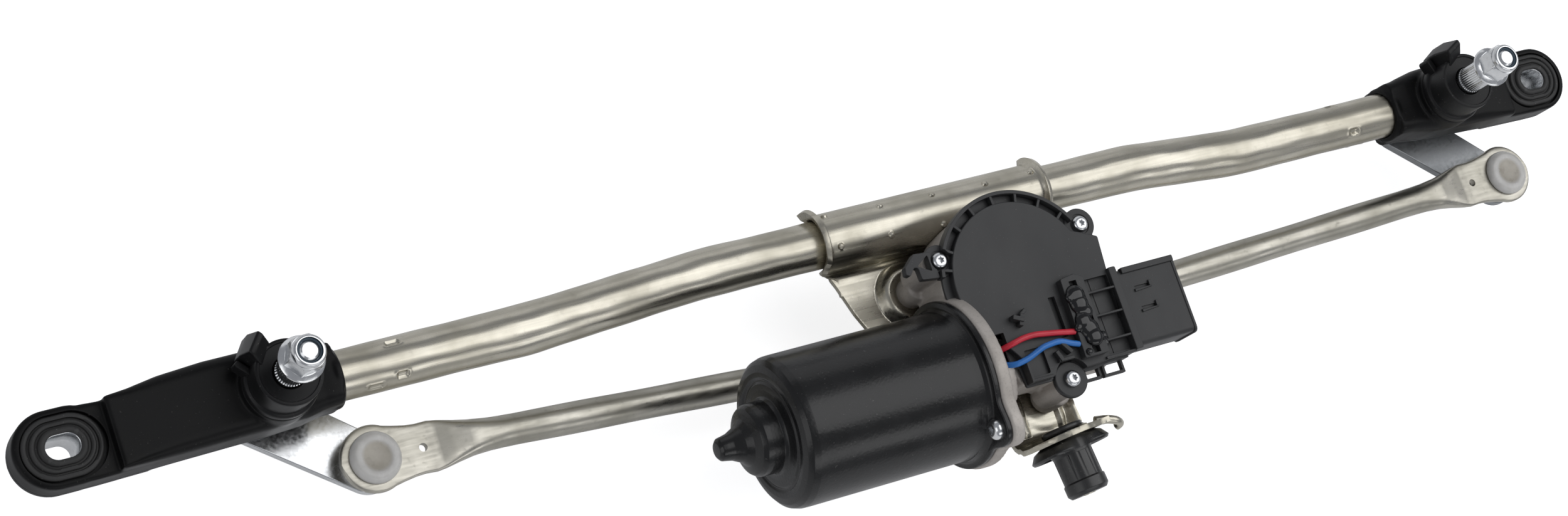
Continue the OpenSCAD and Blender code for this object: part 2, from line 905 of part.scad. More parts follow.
module potting_tower() {
    difference() {
        translate([14, -39.5, cover_hi - eps]) cube([10, 32, 4]);
        translate([15.5, -34.5, cover_hi + 1]) cube([7, 22, 5]);
    }
}

module potting_sealant() {
    color([0.03, 0.03, 0.035])
    translate([19, -23.5, cover_hi + 1 + seat])
        intersection() {
            union() {
                translate([-3.4, -10.9, 0]) cube([6.8, 21.8, 3]);
                for (y = [-8, -3, 3, 8])
                    translate([0.4 * sin(y * 40), y, 2.4]) sphere(3.1);
            }
            translate([-3.4, -10.9, 0]) cube([6.8, 21.8, 6]);
        }
}

module connector_terminals() {
    color(copper)
    for (p = pin_at)
        translate([conn_x0 + 4, p[0] - 1, p[1] - 0.4]) cube([20, 2, 0.8]);
}

// Pan head with a screw shank below it, pointing along -Z
module pan_screw(shank_r, head_r, head_h, len) {
    difference() {
        union() {
            translate([0, 0, -len]) cylinder(h = len + eps, r = shank_r);
            cylinder(h = head_h * 0.5, r = head_r);
            translate([0, 0, head_h * 0.5 - eps]) cylinder(h = head_h * 0.5, r1 = head_r, r2 = head_r * 0.6);
        }
        for (a = [0, 90])
            rotate([0, 0, a])
                translate([-head_r * 0.55, -0.5, head_h * 0.45]) cube([head_r * 1.1, 1, head_h]);
    }
}

module cover_screws() {
    color(bright_zinc) {
        for (i = [0, 1])
            translate([screw_at[i][0], screw_at[i][1], cover_base + seat])
                pan_screw(1.65, 3.4, 2.6, 13);
        translate([screw_at[2][0], screw_at[2][1], boss_top + seat])
            pan_screw(1.65, 3.4, 2.6, 13);
    }
}

module contact_fingers() {
    color(copper)
    for (r = [14, 17, 20])
        translate([r - 1, -6, wheel_hi - 1 + seat]) {
            cube([2, 6, 0.4]);
            cube([2, 1, cover_hi - 2.5 - wheel_hi + 1 - 2 * seat]);
        }
}

module mounting_screws() {
    color(bright_zinc)
    for (p = pillar_at)
        translate([p[0], p[1], plate_lo - seat])
            scale([1, 1, -1]) {
                translate([0, 0, -11]) cylinder(h = 11 + eps, r = 2.55);
                cylinder(h = 1.2, r = 6.4);
                cylinder(h = 4.2, r = 5.2, $fn = 6);
            }
}

// A bent round cable through a list of points
module cable(points, r) {
    for (i = [0 : len(points) - 2])
        hull() {
            translate(points[i]) sphere(r, $fn = 16);
            translate(points[i + 1]) sphere(r, $fn = 16);
        }
}

module red_wire() {
    color([0.8, 0.1, 0.14])
    cable([[-22, -27, 22], [-20, -26.5, 30], [-14, -25.6, 34.5], [-6, -25, 35.5],
        [4, -26.5, 34.6], [12.6, -28, 34.2]], 1.15);
}

module blue_wire() {
    color([0.08, 0.35, 0.7])
    cable([[-23, -31, 22], [-21, -33, 30], [-14, -33, 34], [-5, -30.8, 35.4],
        [3, -30.4, 35], [12.6, -33, 34.2]], 1.15);
}

// ---------- motor ----------

can_r = can_d / 2;
can_t = 1.6;
mouth_x = flange_x - seat;
end_x = mouth_x - 2 - can_len;
nose_r = 14.7;

module can_profile(t) {
    // x is the radius, y runs from the closed end towards the mouth
    rotate([0, 0, 0])
    polygon([[0, -24.5 + t], [4 - t, -24.5 + t], [4.9 - t, -22.5 + t], [5.4 - t, -19 + t],
        [7.6 - t, -14 + t], [9.8 - t, -12 + t], [12.8 - t, -11 + t], [nose_r - t, -9 + t],
        [nose_r - t, t], [22.4, t - 0.6], [24.5, t], [can_r - 4.5, t],
        [can_r - 1.6 - t / 2, 1.6 + t / 2], [can_r - t, 5 + t], [can_r - t, can_len + 2 + t],
        [0, can_len + 2 + t]]);
}

module along_worm(x) {
    translate([x, worm_y, worm_z]) rotate([0, 90, 0]) children();
}

module motor_can() {
    color(black_metal)
    difference() {
        union() {
            along_worm(end_x) rotate_extrude() can_profile(0);
            across_x(mouth_x - 2, 2) flange_outline(35.3, 6.6);
        }
        along_worm(end_x) rotate_extrude() can_profile(can_t);
        for (e = can_ear)
            rod_x(mouth_x - 5, mouth_x + 1, 2.4, worm_y + e[0], worm_z + e[1]);
        // square locating hole in the wall
        translate([-115, worm_y, worm_z])
            rotate([43, 0, 0])
                translate([-2.2, -can_r - 1, -2]) cube([4.4, 4, 4]);
    }
}

module can_screws() {
    color(bright_zinc)
    for (e = can_ear)
        translate([mouth_x - 2 - seat, worm_y + e[0], worm_z + e[1]])
            rotate([0, -90, 0])
                pan_screw(2.05, 4.1, 3.4, 9);
}

magnet_x0 = end_x + 14;
magnet_len = 54;

module magnets() {
    color([0.2, 0.2, 0.21])
    for (a = [30, 210])
        along_worm(magnet_x0)
            rotate([0, 0, a])
                rotate_extrude(angle = 120)
                    translate([23.2, 0]) square([can_r - can_t - 23.2 - seat, magnet_len]);
}

module can_bush() {
    color(bronze)
    along_worm(end_x - 8)
    difference() {
        cylinder(h = 9, r = 12.2);
        translate([0, 0, -1]) cylinder(h = 11, r = 4 + run);
    }
}

module worm_bush() {
    color(bronze)
    along_worm(-23.5)
    difference() {
        cylinder(h = 7, r = 6.8 - 0.01);
        translate([0, 0, -1]) cylinder(h = 9, r = 4 + run);
    }
}

module end_stop() {
    color(nylon)
    along_worm(22.2)
        cylinder(h = 5.7, r = 6.8 - 0.01);
}

module brush_card() {
    color([0.35, 0.22, 0.12])
    along_worm(-44)
    difference() {
        cylinder(h = 2.5, r = 29);
        translate([0, 0, -1]) cylinder(h = 5, r = 12.6);
        for (a = [45, 225])
            rotate([0, 0, a]) translate([24, -6, -1]) cube([8, 12, 5]);
    }
}

brush_angles = [0, 120, 240];

module brushes() {
    color([0.16, 0.16, 0.17])
    along_worm(-50.5)
        for (a = brush_angles)
            rotate([0, 0, a])
                translate([11.3, -3, 0]) cube([9, 6, 6.4]);
}

module brush_springs() {
    color(steel)
    along_worm(-47.3)
        for (a = brush_angles)
            rotate([0, 0, a])
                translate([20.4, 0, 0])
                    rotate([0, 90, 0])
                        difference() {
                            cylinder(h = 7, r = 2.4);
                            translate([0, 0, -1]) cylinder(h = 9, r = 1.8);
                        }
}

// ---------- armature ----------

worm_turns = 5;
thread_steps = 8;

// Radius of the worm's cross-section at an angle, one thread start
function worm_radius(a) =
    let (u = abs((a - 180) / 360))
    worm_root + (worm_tip - worm_root) * max(0, min(1, (0.22 - u) / 0.1));

// Left-handed thread, turned so that the wheel's lowest tooth stands in a gap
module worm_thread() {
    turn = [for (i = [0 : 11]) i * 30];
    len = worm_turns * lead;
    translate([-len / 2, worm_y, worm_z])
        rotate([0, 90, 0])
            rotate([0, 0, 90 + 180 * worm_turns])
                linear_extrude(len, $fn = 12, twist = 360 * worm_turns, slices = worm_turns * thread_steps)
                    polygon([for (a = turn) worm_radius(a) * [cos(a), sin(a)]]);
}

module armature_shaft() {
    color(steel) {
        rod_x(end_x - 8.5, -worm_turns * lead / 2 + 0.5, 4, worm_y, worm_z);
        rod_x(worm_turns * lead / 2 - 0.5, 22, 4, worm_y, worm_z);
        worm_thread();
    }
}

core_x0 = magnet_x0 + 5;
core_len = magnet_len - 10;

module armature_core() {
    color(steel)
    along_worm(core_x0)
    difference() {
        cylinder(h = core_len, r = 22.4);
        translate([0, 0, -1]) cylinder(h = core_len + 2, r = 4.005);
        for (i = [0 : 11])
            rotate([0, 0, i * 30])
                translate([15, -1.2, -1]) cube([8, 2.4, core_len + 2]);
    }
}

module armature_windings() {
    color(copper) {
        for (x = [core_x0 - 8, core_x0 + core_len + seat])
            along_worm(x)
                rotate_extrude()
                    polygon([[8, 2], [11, 0], [17, 0], [20, 3], [20, 8 - seat], [8, 8 - seat]]);
        along_worm(-52)
            difference() {
                cylinder(h = 9, r = 11.2);
                translate([0, 0, -1]) cylinder(h = 11, r = 4.005);
            }
    }
}

frame_tube();
bracket_plate();
left_housing();
right_housing();
left_bush();
right_bush();
left_pivot_cap();
right_pivot_cap();
left_grommet();
right_grommet();
left_mount_sleeve();
right_mount_sleeve();
isolator_rubber();
isolator_insert();
thrust_washers();
left_pivot_shaft();
right_pivot_shaft();
left_shaft_nut();
right_shaft_nut();
left_lever();
right_lever();
left_ball_stud();
right_ball_stud();
left_link();
right_link();
left_link_cap();
right_link_cap();
left_crank_socket();
right_crank_socket();
left_crank_ball();
right_crank_ball();
output_shaft();
crank_arm();
crank_nut();
crank_pin();
worm_wheel();
contact_disc();
gear_housing();
output_bush();
cover_gasket();
gear_cover();
cover_screws();
contact_fingers();
mounting_screws();
potting_sealant();
connector_terminals();
red_wire();
blue_wire();
motor_can();
can_screws();
magnets();
can_bush();
worm_bush();
end_stop();
brush_card();
brushes();
brush_springs();
armature_shaft();
armature_core();
armature_windings();
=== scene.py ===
import json
import math

import bmesh
import bpy
import numpy as np
from mathutils import Matrix, Vector


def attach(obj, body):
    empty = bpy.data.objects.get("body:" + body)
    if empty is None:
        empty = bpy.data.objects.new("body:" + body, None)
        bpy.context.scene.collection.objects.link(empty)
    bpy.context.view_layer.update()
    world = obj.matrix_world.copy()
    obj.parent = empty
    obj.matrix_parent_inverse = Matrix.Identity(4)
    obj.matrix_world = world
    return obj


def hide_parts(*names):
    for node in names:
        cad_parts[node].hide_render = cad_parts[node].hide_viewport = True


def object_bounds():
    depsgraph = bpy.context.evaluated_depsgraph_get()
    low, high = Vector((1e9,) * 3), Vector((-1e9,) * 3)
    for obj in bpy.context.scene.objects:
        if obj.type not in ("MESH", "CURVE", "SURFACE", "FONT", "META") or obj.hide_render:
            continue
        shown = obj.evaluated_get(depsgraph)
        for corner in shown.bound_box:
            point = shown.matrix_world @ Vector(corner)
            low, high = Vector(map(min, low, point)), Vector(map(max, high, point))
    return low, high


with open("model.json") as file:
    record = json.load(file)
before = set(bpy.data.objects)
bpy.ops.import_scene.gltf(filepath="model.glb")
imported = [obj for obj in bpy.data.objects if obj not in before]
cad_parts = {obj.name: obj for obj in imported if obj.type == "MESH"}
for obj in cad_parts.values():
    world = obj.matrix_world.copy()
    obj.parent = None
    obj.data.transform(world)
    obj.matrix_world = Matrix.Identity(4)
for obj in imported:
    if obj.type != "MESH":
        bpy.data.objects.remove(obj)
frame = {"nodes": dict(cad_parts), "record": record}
cad_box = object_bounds()
scene = bpy.context.scene
MM = 0.001
TINY = 1e-9

# ---------------------------------------------------------------- dimensions, in millimetres
TUBE_R = 10.0
TUBE_Y = 39.5
PIVOT_Y = 34.9
LEFT_X = -308.5
RIGHT_X = 256.0
LEFT_ARM = 81.5
RIGHT_ARM = 56.0
EYE_Y = PIVOT_Y - 1.6
WORM_Y = -32.9
WORM_Z = 12.0
CAN_R = 31.1
CAN_MOUTH = -36.05
CAN_LENGTH = 84.5
CAN_END = CAN_MOUTH - 2 - CAN_LENGTH
PLATE_TOP = -7.5
PLATE_T = 2.5
COVER_BASE = 28.5
COVER_TOP = 32.0
SCREW_AT = [(-33.5, 15.0), (36.0, 15.5), (6.5, -46.0)]
LEFT_BALL = (-270.6128, 3.8897)
RIGHT_BALL = (296.7907, -2.2166)
CRANK_END = (34.0025, -7.5008)
BALL_Z = -20.0
RIGHT_PIN_Z = -36.0
LEFT_PIN_Z = -52.0
FLANGE_X = -36
ISOLATOR_AT = (9.5, -63.5, 4)
ISOLATOR_TURN = [("X", 90), ("Z", 5)]
PILLAR_AT = [(-32, 11), (34, 12), (12, -46)]
EARS = [(-25.2, 24.7), (25.2, -24.7)]
SADDLE_X = (-71.0, 38.0)
SADDLE_R = 11.2
BALL_R = 6.5
EYE_R = 13.5
NUT_Z = 46.5
WIRE_R = 1.25


# ---------------------------------------------------------------- shapes as (vertices, faces)
def join(*shapes):
    """Several closed shells as one shape."""
    verts, faces, start = [], [], 0
    for v, f in shapes:
        verts.append(np.asarray(v, float))
        faces += [[i + start for i in q] for q in f]
        start += len(v)
    return np.vstack(verts), faces


def place(shape, at=(0, 0, 0), turn=None):
    """The shape turned by a list of (axis, degrees), then moved."""
    v = np.asarray(shape[0], float)
    for axis, degrees in turn or []:
        v = v @ np.array(Matrix.Rotation(math.radians(degrees), 3, axis)).T
    return v + np.array(at, float), shape[1]


def loft(rings, closed=False):
    """A skin through equal rings of points, with flat ends or closed into a loop."""
    rings = [np.asarray(r, float) for r in rings]
    n, m = len(rings[0]), len(rings)
    verts = np.vstack(rings)
    faces = []
    for i in range(m if closed else m - 1):
        a, b = i * n, ((i + 1) % m) * n
        faces += [[a + j, a + (j + 1) % n, b + (j + 1) % n, b + j] for j in range(n)]
    if not closed:
        faces.append(list(range(n))[::-1])
        faces.append([(m - 1) * n + j for j in range(n)])
    return verts, faces


def lathe(profile, segments=64, closed=False, warp=None):
    """A profile of (radius, height) turned about Z. warp(angle, radius, height) gives a changed radius."""
    verts, rows, faces = [], [], []
    for r, z in profile:
        if r < 1e-6:
            rows.append([len(verts)])
            verts.append((0, 0, z))
            continue
        rows.append(list(range(len(verts), len(verts) + segments)))
        for i in range(segments):
            a = 2 * math.pi * i / segments
            q = warp(a, r, z) if warp else r
            verts.append((q * math.cos(a), q * math.sin(a), z))
    pairs = list(zip(rows, rows[1:])) + ([(rows[-1], rows[0])] if closed else [])
    for a, b in pairs:
        for i in range(segments):
            j = (i + 1) % segments
            if len(a) == 1 and len(b) == 1:
                continue
            if len(a) == 1:
                faces.append([a[0], b[j], b[i]])
            elif len(b) == 1:
                faces.append([a[i], a[j], b[0]])
            else:
                faces.append([a[i], a[j], b[j], b[i]])
    return np.array(verts, float), faces


def fillet(points, radius, steps=4, closed=True):
    """A polyline with its corners rounded. radius is a number or one per point."""
    pts = [np.array(p, float) for p in points]
    n = len(pts)
    radii = [radius] * n if np.isscalar(radius) else list(radius)
    out = []
    for i, p in enumerate(pts):
        if (not closed and i in (0, n - 1)) or radii[i] <= 0:
            out.append(p)
            continue
        a, b = pts[i - 1] - p, pts[(i + 1) % n] - p
        la, lb = np.linalg.norm(a), np.linalg.norm(b)
        a, b = a / la, b / lb
        half = math.acos(max(-1.0, min(1.0, float(a @ b)))) / 2
        d = min(radii[i] / max(math.tan(half), 1e-3), 0.45 * la, 0.45 * lb)
        for k in range(steps + 1):
            t = k / steps
            out.append((1 - t) ** 2 * (p + a * d) + 2 * t * (1 - t) * p + t * t * (p + b * d))
    return np.array(out)


def inset(outline, d):
    """The outline moved inwards by d, for small d."""
    p = np.asarray(outline, float)
    nxt, prv = np.roll(p, -1, 0), np.roll(p, 1, 0)
    e1, e2 = p - prv, nxt - p
    area = 0.5 * np.sum(p[:, 0] * nxt[:, 1] - nxt[:, 0] * p[:, 1])
    sign = 1 if area > 0 else -1
    n1 = np.stack([-e1[:, 1], e1[:, 0]], 1) / np.maximum(np.linalg.norm(e1, axis=1), TINY)[:, None]
    n2 = np.stack([-e2[:, 1], e2[:, 0]], 1) / np.maximum(np.linalg.norm(e2, axis=1), TINY)[:, None]
    m = n1 + n2
    m = m / np.maximum(np.sum(m * n1, axis=1), 0.35)[:, None]
    return p + sign * d * m


def prism(outline, z0, z1, soft=0.4, steps=2):
    """An outline raised from z0 to z1, with rounded top and bottom edges."""
    def ring(d, z):
        return at_height(inset(outline, d) if d > TINY else outline, z)

    turns = [math.pi / 2 * k / steps for k in range(steps + 1)] if soft > 0 else [0]
    rings = [ring(soft * (1 - math.sin(a)), z0 + soft * (1 - math.cos(a))) for a in turns]
    rings += [ring(soft * (1 - math.cos(a)), z1 - soft * (1 - math.sin(a))) for a in turns]
    return loft(rings)


def box(x0, x1, y0, y1, z0, z1, soft=0.4, corner=0.4):
    """A block with softened edges."""
    corners = fillet([(x0, y0), (x1, y0), (x1, y1), (x0, y1)], corner, 3)
    return prism(corners, z0, z1, soft)


def circle(r, at=(0, 0), n=48, start=0.0, end=360.0):
    full = abs(end - start - 360) < 1e-6
    a = np.radians(np.linspace(start, end, n, endpoint=not full))
    return np.column_stack([at[0] + r * np.cos(a), at[1] + r * np.sin(a)])


def drum(r, z0, z1, at=(0, 0), soft=0.4, segments=48):
    """A round plate with softened edges."""
    return prism(circle(r, at, segments), z0, z1, soft)


def capsule(a, b, ra, rb, n=24):
    """Outline round two circles."""
    a, b = np.array(a, float), np.array(b, float)
    d = b - a
    t = math.degrees(math.atan2(d[1], d[0]))
    s = math.degrees(math.acos(max(-1, min(1, (ra - rb) / np.linalg.norm(d)))))
    return np.vstack([circle(rb, b, n, t - s, t + s), circle(ra, a, n, t + s, t + 360 - s)])


def plug(r, z0, z1, segments):
    """A plain round shape from z0 to z1, mostly for cutting."""
    return lathe([(0, z0), (r, z0), (r, z1), (0, z1)], segments)


def arc(r, centre, degrees):
    """Points at these angles round a centre."""
    return [(centre[0] + r * math.cos(math.radians(t)), centre[1] + r * math.sin(math.radians(t)))
            for t in degrees]


def fade(t):
    """0 below 0, 1 above 1 and a smooth step between."""
    t = np.clip(t, 0, 1)
    return t * t * (3 - 2 * t)


def at_height(outline, z):
    """An outline's points lifted to height z."""
    return np.column_stack([outline, np.full(len(outline), z)])


def blurred(points):
    """Each inner point moved halfway to its neighbours' mean."""
    return 0.25 * points[:-2] + 0.5 * points[1:-1] + 0.25 * points[2:]


def smooth_line(points, spacing, blur):
    """A polyline resampled evenly and softened, its ends kept."""
    p = np.array(points, float)
    d = np.r_[0, np.cumsum(np.linalg.norm(np.diff(p, axis=0), axis=1))]
    s = np.linspace(0, d[-1], max(8, int(d[-1] / spacing)))
    q = np.column_stack([np.interp(s, d, p[:, i]) for i in range(p.shape[1])])
    for _ in range(blur):
        q[1:-1] = blurred(q)
    return q


def rod(points, r, segments=16, taper=None):
    """A round bar along a 3-D line of points."""
    p = np.asarray(points, float)
    t = np.gradient(p, axis=0)
    t /= np.linalg.norm(t, axis=1)[:, None]
    up = np.array([0.0, 0.0, 1.0]) if abs(t[0][2]) < 0.9 else np.array([1.0, 0, 0])
    rings = []
    side = np.cross(up, t[0])
    for i in range(len(p)):
        side = side - (side @ t[i]) * t[i]
        side /= np.linalg.norm(side)
        other = np.cross(t[i], side)
        q = r if taper is None else taper(i / (len(p) - 1)) * r
        a = np.linspace(0, 2 * math.pi, segments, endpoint=False)
        rings.append(p[i] + q * (np.cos(a)[:, None] * side + np.sin(a)[:, None] * other))
    return loft(rings)


def sheet(points, thickness):
    """A grid of points (rows, columns, 3) given a thickness, as a closed plate."""
    p = np.asarray(points, float)
    n = np.cross(np.gradient(p, axis=0), np.gradient(p, axis=1))
    n /= np.maximum(np.linalg.norm(n, axis=2), TINY)[..., None]
    rows, cols = p.shape[:2]
    top, low = p + n * thickness / 2, p - n * thickness / 2
    verts = np.vstack([top.reshape(-1, 3), low.reshape(-1, 3)])
    k = rows * cols
    faces = []
    for i in range(rows - 1):
        for j in range(cols - 1):
            a, b, c, d = i * cols + j, i * cols + j + 1, (i + 1) * cols + j + 1, (i + 1) * cols + j
            faces.append([a, b, c, d])
            faces.append([a + k, d + k, c + k, b + k])
    edge = list(range(cols)) + [i * cols + cols - 1 for i in range(1, rows)]
    edge += [(rows - 1) * cols + j for j in range(cols - 2, -1, -1)]
    edge += [i * cols for i in range(rows - 2, 0, -1)]
    for a, b in zip(edge, edge[1:] + edge[:1]):
        faces.append([a, a + k, b + k, b])
    return verts, faces


# ---------------------------------------------------------------- Blender objects
def add_object(name, data):
    obj = bpy.data.objects.new(name, data)
    scene.collection.objects.link(obj)
    return obj


def to_object(name, shape):
    mesh = bpy.data.meshes.new(name)
    mesh.from_pydata((np.asarray(shape[0]) * MM).tolist(), [], shape[1])
    bm = bmesh.new()
    bm.from_mesh(mesh)
    bmesh.ops.recalc_face_normals(bm, faces=bm.faces)
    bm.to_mesh(mesh)
    bm.free()
    return add_object(name, mesh)


def discard(obj):
    data = obj.data
    bpy.data.objects.remove(obj)
    bpy.data.meshes.remove(data)


def points_of(obj):
    return np.array([q.co[:] for q in obj.data.vertices]) / MM


def to_shape(obj):
    """The object's points and faces. The object itself is discarded."""
    shape = points_of(obj), [list(p.vertices) for p in obj.data.polygons]
    discard(obj)
    return shape


def evaluated(obj):
    """The mesh that the object's modifiers give, which are then cleared."""
    bpy.context.view_layer.update()
    mesh = bpy.data.meshes.new_from_object(obj.evaluated_get(bpy.context.evaluated_depsgraph_get()))
    obj.modifiers.clear()
    return mesh


def swap_mesh(obj, mesh):
    old = obj.data
    obj.data = mesh
    bpy.data.meshes.remove(old)
    return obj


def boolean(obj, shape, operation):
    """Joins or cuts a shape. The slower solver is used where the fast one gives nothing."""
    tool = to_object("tool", shape)
    before = len(obj.data.polygons)
    for solver in ("MANIFOLD", "EXACT"):
        m = obj.modifiers.new("b", "BOOLEAN")
        m.operation = operation
        m.solver = solver
        m.object = tool
        mesh = evaluated(obj)
        if solver == "EXACT" or len(mesh.polygons) not in (0, before):
            break
        bpy.data.meshes.remove(mesh)
    swap_mesh(obj, mesh)
    discard(tool)


def cut(obj, *shapes):
    for s in shapes:
        boolean(obj, s, "DIFFERENCE")


def unite(obj, *shapes):
    for s in shapes:
        boolean(obj, s, "UNION")


def fuse(name, *shapes):
    obj = to_object(name, shapes[0])
    unite(obj, *shapes[1:])
    return obj


def cast(name, voxel, smooth, *shapes):
    """Shells melted into one casting with rounded edges and fillets."""
    obj = to_object(name, join(*shapes))
    m = obj.modifiers.new("r", "REMESH")
    m.mode = "VOXEL"
    m.voxel_size = voxel * MM
    s = obj.modifiers.new("s", "SMOOTH")
    s.factor = 0.5
    s.iterations = smooth
    return swap_mesh(obj, evaluated(obj))


def bevel(obj, width, segments, angle=30, miter="MITER_SHARP"):
    """Rounds the edges that are sharper than the angle."""
    m = obj.modifiers.new("bevel", "BEVEL")
    m.width = width * MM
    m.segments = segments
    m.limit_method = "ANGLE"
    m.angle_limit = math.radians(angle)
    m.miter_outer = miter
    swap_mesh(obj, evaluated(obj))


def finish_piece(obj, node, look, angle, weighted):
    """Shading, material and body of a piece that belongs to one CAD node."""
    mesh = obj.data
    mesh.materials.clear()
    mesh.materials.append(MAT[look])
    mesh.polygons.foreach_set("use_smooth", [True] * len(mesh.polygons))
    mesh.set_sharp_from_angle(angle=math.radians(angle))
    if weighted:
        w = obj.modifiers.new("normals", "WEIGHTED_NORMAL")
        w.keep_sharp = True
    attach(obj, BODY_OF[node])


BODY_OF = {n: b for b, members in frame["record"]["behaviour"]["bodies"].items() for n in members}
SLOT_OF = {s["node"]: s["material_slot"] for s in frame["record"]["subparts"]}


def stand_in(node, obj, look, angle=35, weighted=True):
    """A finished piece that is shown in place of one CAD node."""
    obj.name = node + "_finish"
    finish_piece(obj, node, look, angle, weighted)
    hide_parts(node)


def refine(node, width, segments, angle):
    """A CAD node's own shape with its sharp edges softened."""
    bm = bmesh.new()
    bm.from_mesh(frame["nodes"][node].data)
    bmesh.ops.remove_doubles(bm, verts=bm.verts, dist=2e-6)
    bmesh.ops.dissolve_limit(bm, angle_limit=math.radians(1.0), verts=bm.verts, edges=bm.edges)
    mesh = bpy.data.meshes.new(node + "_finish")
    bm.to_mesh(mesh)
    bm.free()
    for name in ("custom_normal", "sharp_edge", "sharp_face"):
        if name in mesh.attributes:
            mesh.attributes.remove(mesh.attributes[name])
    obj = add_object(node + "_finish", mesh)
    bevel(obj, width, segments, angle, "MITER_ARC")
    stand_in(node, obj, SLOT_OF[node])


# ---------------------------------------------------------------- materials
class Nodes:
    """A short way to wire shader nodes."""

    def __init__(self, name):
        self.mat = bpy.data.materials.new(name)
        self.mat.use_nodes = True
        self.tree = self.mat.node_tree
        self.bsdf = self.tree.nodes["Principled BSDF"]
        self.coord = self.tree.nodes.new("ShaderNodeTexCoord")

    def add(self, kind, **inputs):
        node = self.tree.nodes.new(kind)
        for key, value in inputs.items():
            if key in node.inputs:
                self.set(node.inputs[key], value)
            else:
                setattr(node, key, value)
        return node

    def set(self, socket, value):
        if isinstance(value, bpy.types.NodeSocket):
            self.tree.links.new(value, socket)
        elif socket.type == "RGBA":
            socket.default_value = (*value, 1)
        else:
            socket.default_value = value

    def place(self, scale):
        m = self.add("ShaderNodeMapping")
        m.inputs["Scale"].default_value = scale
        self.set(m.inputs["Vector"], self.coord.outputs["Object"])
        return m.outputs["Vector"]

    def noise(self, size_mm, detail=3.0, stretch=(1, 1, 1), rough=0.55):
        """Noise whose features are about size_mm across."""
        n = self.add("ShaderNodeTexNoise", Scale=1 / (size_mm * MM), Detail=detail, Roughness=rough)
        self.set(n.inputs["Vector"], self.place(stretch))
        return n.outputs["Fac"]

    def cells(self, size_mm):
        n = self.add("ShaderNodeTexVoronoi", Scale=1 / (size_mm * MM), Randomness=1.0)
        self.set(n.inputs["Vector"], self.place((1, 1, 1)))
        return n.outputs["Distance"]

    def split(self, output):
        """The x, y and z of a texture coordinate."""
        n = self.add("ShaderNodeSeparateXYZ")
        self.set(n.inputs[0], self.coord.outputs[output])
        return n.outputs

    def remap(self, value, a, b, c=0.0, d=1.0):
        n = self.add("ShaderNodeMapRange")
        self.set(n.inputs[0], value)
        for i, x in enumerate((a, b, c, d)):
            n.inputs[i + 1].default_value = x
        return n.outputs[0]

    def math(self, operation, a, b=0.0):
        n = self.add("ShaderNodeMath", operation=operation)
        self.set(n.inputs[0], a)
        self.set(n.inputs[1], b)
        return n.outputs[0]

    def mix(self, factor, a, b):
        n = self.tree.nodes.new("ShaderNodeMix")
        n.data_type = "RGBA"
        self.set(n.inputs[0], factor)
        self.set(n.inputs[6], a)
        self.set(n.inputs[7], b)
        return n.outputs[2]

    def bump(self, height, distance_mm, strength=1.0, under=None):
        n = self.add("ShaderNodeBump", Strength=strength, Distance=distance_mm * MM)
        self.set(n.inputs["Height"], height)
        if under is not None:
            self.set(n.inputs["Normal"], under)
        return n.outputs["Normal"]

    def edges(self, low=0.52, high=0.6):
        """1 on outside edges, 0 elsewhere."""
        g = self.add("ShaderNodeNewGeometry")
        return self.remap(g.outputs["Pointiness"], low, high)

    def done(self, color, roughness, metallic=0.0, normal=None, **more):
        more.update(Base_Color=color, Roughness=roughness, Metallic=metallic)
        if normal is not None:
            more["Normal"] = normal
        for key, value in more.items():
            self.set(self.bsdf.inputs[key.replace("_", " ")], value)
        return self.mat


def dimmed(color, share):
    return tuple(c * share for c in color)


def plated_steel(name, light, dark, rough=(0.2, 0.42), streak=(0.05, 1, 1), grain=0.9, spots=0.35,
                 depth=0.03):
    """Zinc plate: cloudy tint, fine drawn lines, small dull spots."""
    n = Nodes(name)
    cloud = n.remap(n.noise(22, 4), 0.32, 0.7)
    fine = n.noise(grain, 3)
    lines = n.noise(1.4, 3, streak)
    tint = n.mix(cloud, light, dark)
    specks = n.remap(n.noise(3.4, 2), 0.62, 0.8, 0, spots * 0.6)
    tint = n.mix(specks, tint, dimmed(dark, 0.5))
    tint = n.mix(n.remap(lines, 0.35, 0.65, 0, 0.14), tint, dimmed(dark, 0.8))
    wear = n.math("ADD", n.remap(lines, 0.3, 0.7, rough[0], rough[1]), n.remap(cloud, 0, 1, -0.03, 0.07))
    wear = n.math("ADD", wear, n.math("MULTIPLY", specks, 0.3))
    normal = n.bump(fine, depth, 0.12, n.bump(lines, depth * 0.5, 0.12, n.bump(n.noise(12, 2), 0.08, 0.4)))
    return n.done(tint, wear, 1.0, normal)


def black_coat(name, color=0.012, rough=(0.3, 0.42), grain=1.1, depth=0.06, dust=0.5, parting=None,
               shine=0.2):
    """Black coating on metal: soft leathery grain, dust, and worn edges that are partly a painted edge
    highlight.
    """
    n = Nodes(name)
    cloud = n.noise(16, 3)
    cells = n.cells(grain)
    tint = n.mix(n.remap(cloud, 0.3, 0.7), (color,) * 3, (color * 2.0, color * 2.0, color * 2.1))
    specks = n.remap(n.noise(0.9, 1, rough=0.4), 0.735, 0.77, 0, dust)
    tint = n.mix(specks, tint, (0.32, 0.31, 0.29))
    # paler outside edges: partly wear, partly a painted highlight where the edges would catch the light
    edge_wear_and_highlight = n.math("MULTIPLY", n.edges(0.56, 0.68), n.remap(n.noise(3, 3), 0.4, 0.62, 0, 0.3))
    tint = n.mix(edge_wear_and_highlight, tint, (0.2, 0.2, 0.2))
    normal = n.bump(cells, depth, 0.35, n.bump(n.noise(0.5, 2), depth * 0.5, 0.4))
    if parting is not None:
        off = n.math("ABSOLUTE", n.math("SUBTRACT", n.split("Object")["Z"], parting * MM))
        line = n.remap(off, 0.0001, 0.0004, 1, 0)
        tint = n.mix(line, tint, (0.002, 0.002, 0.002))
        normal = n.bump(n.remap(off, 0.0001, 0.0005), 0.35, 1.0, normal)
    return n.done(tint, n.remap(cloud, 0.25, 0.75, *rough), 0.0, normal, Specular_IOR_Level=shine)


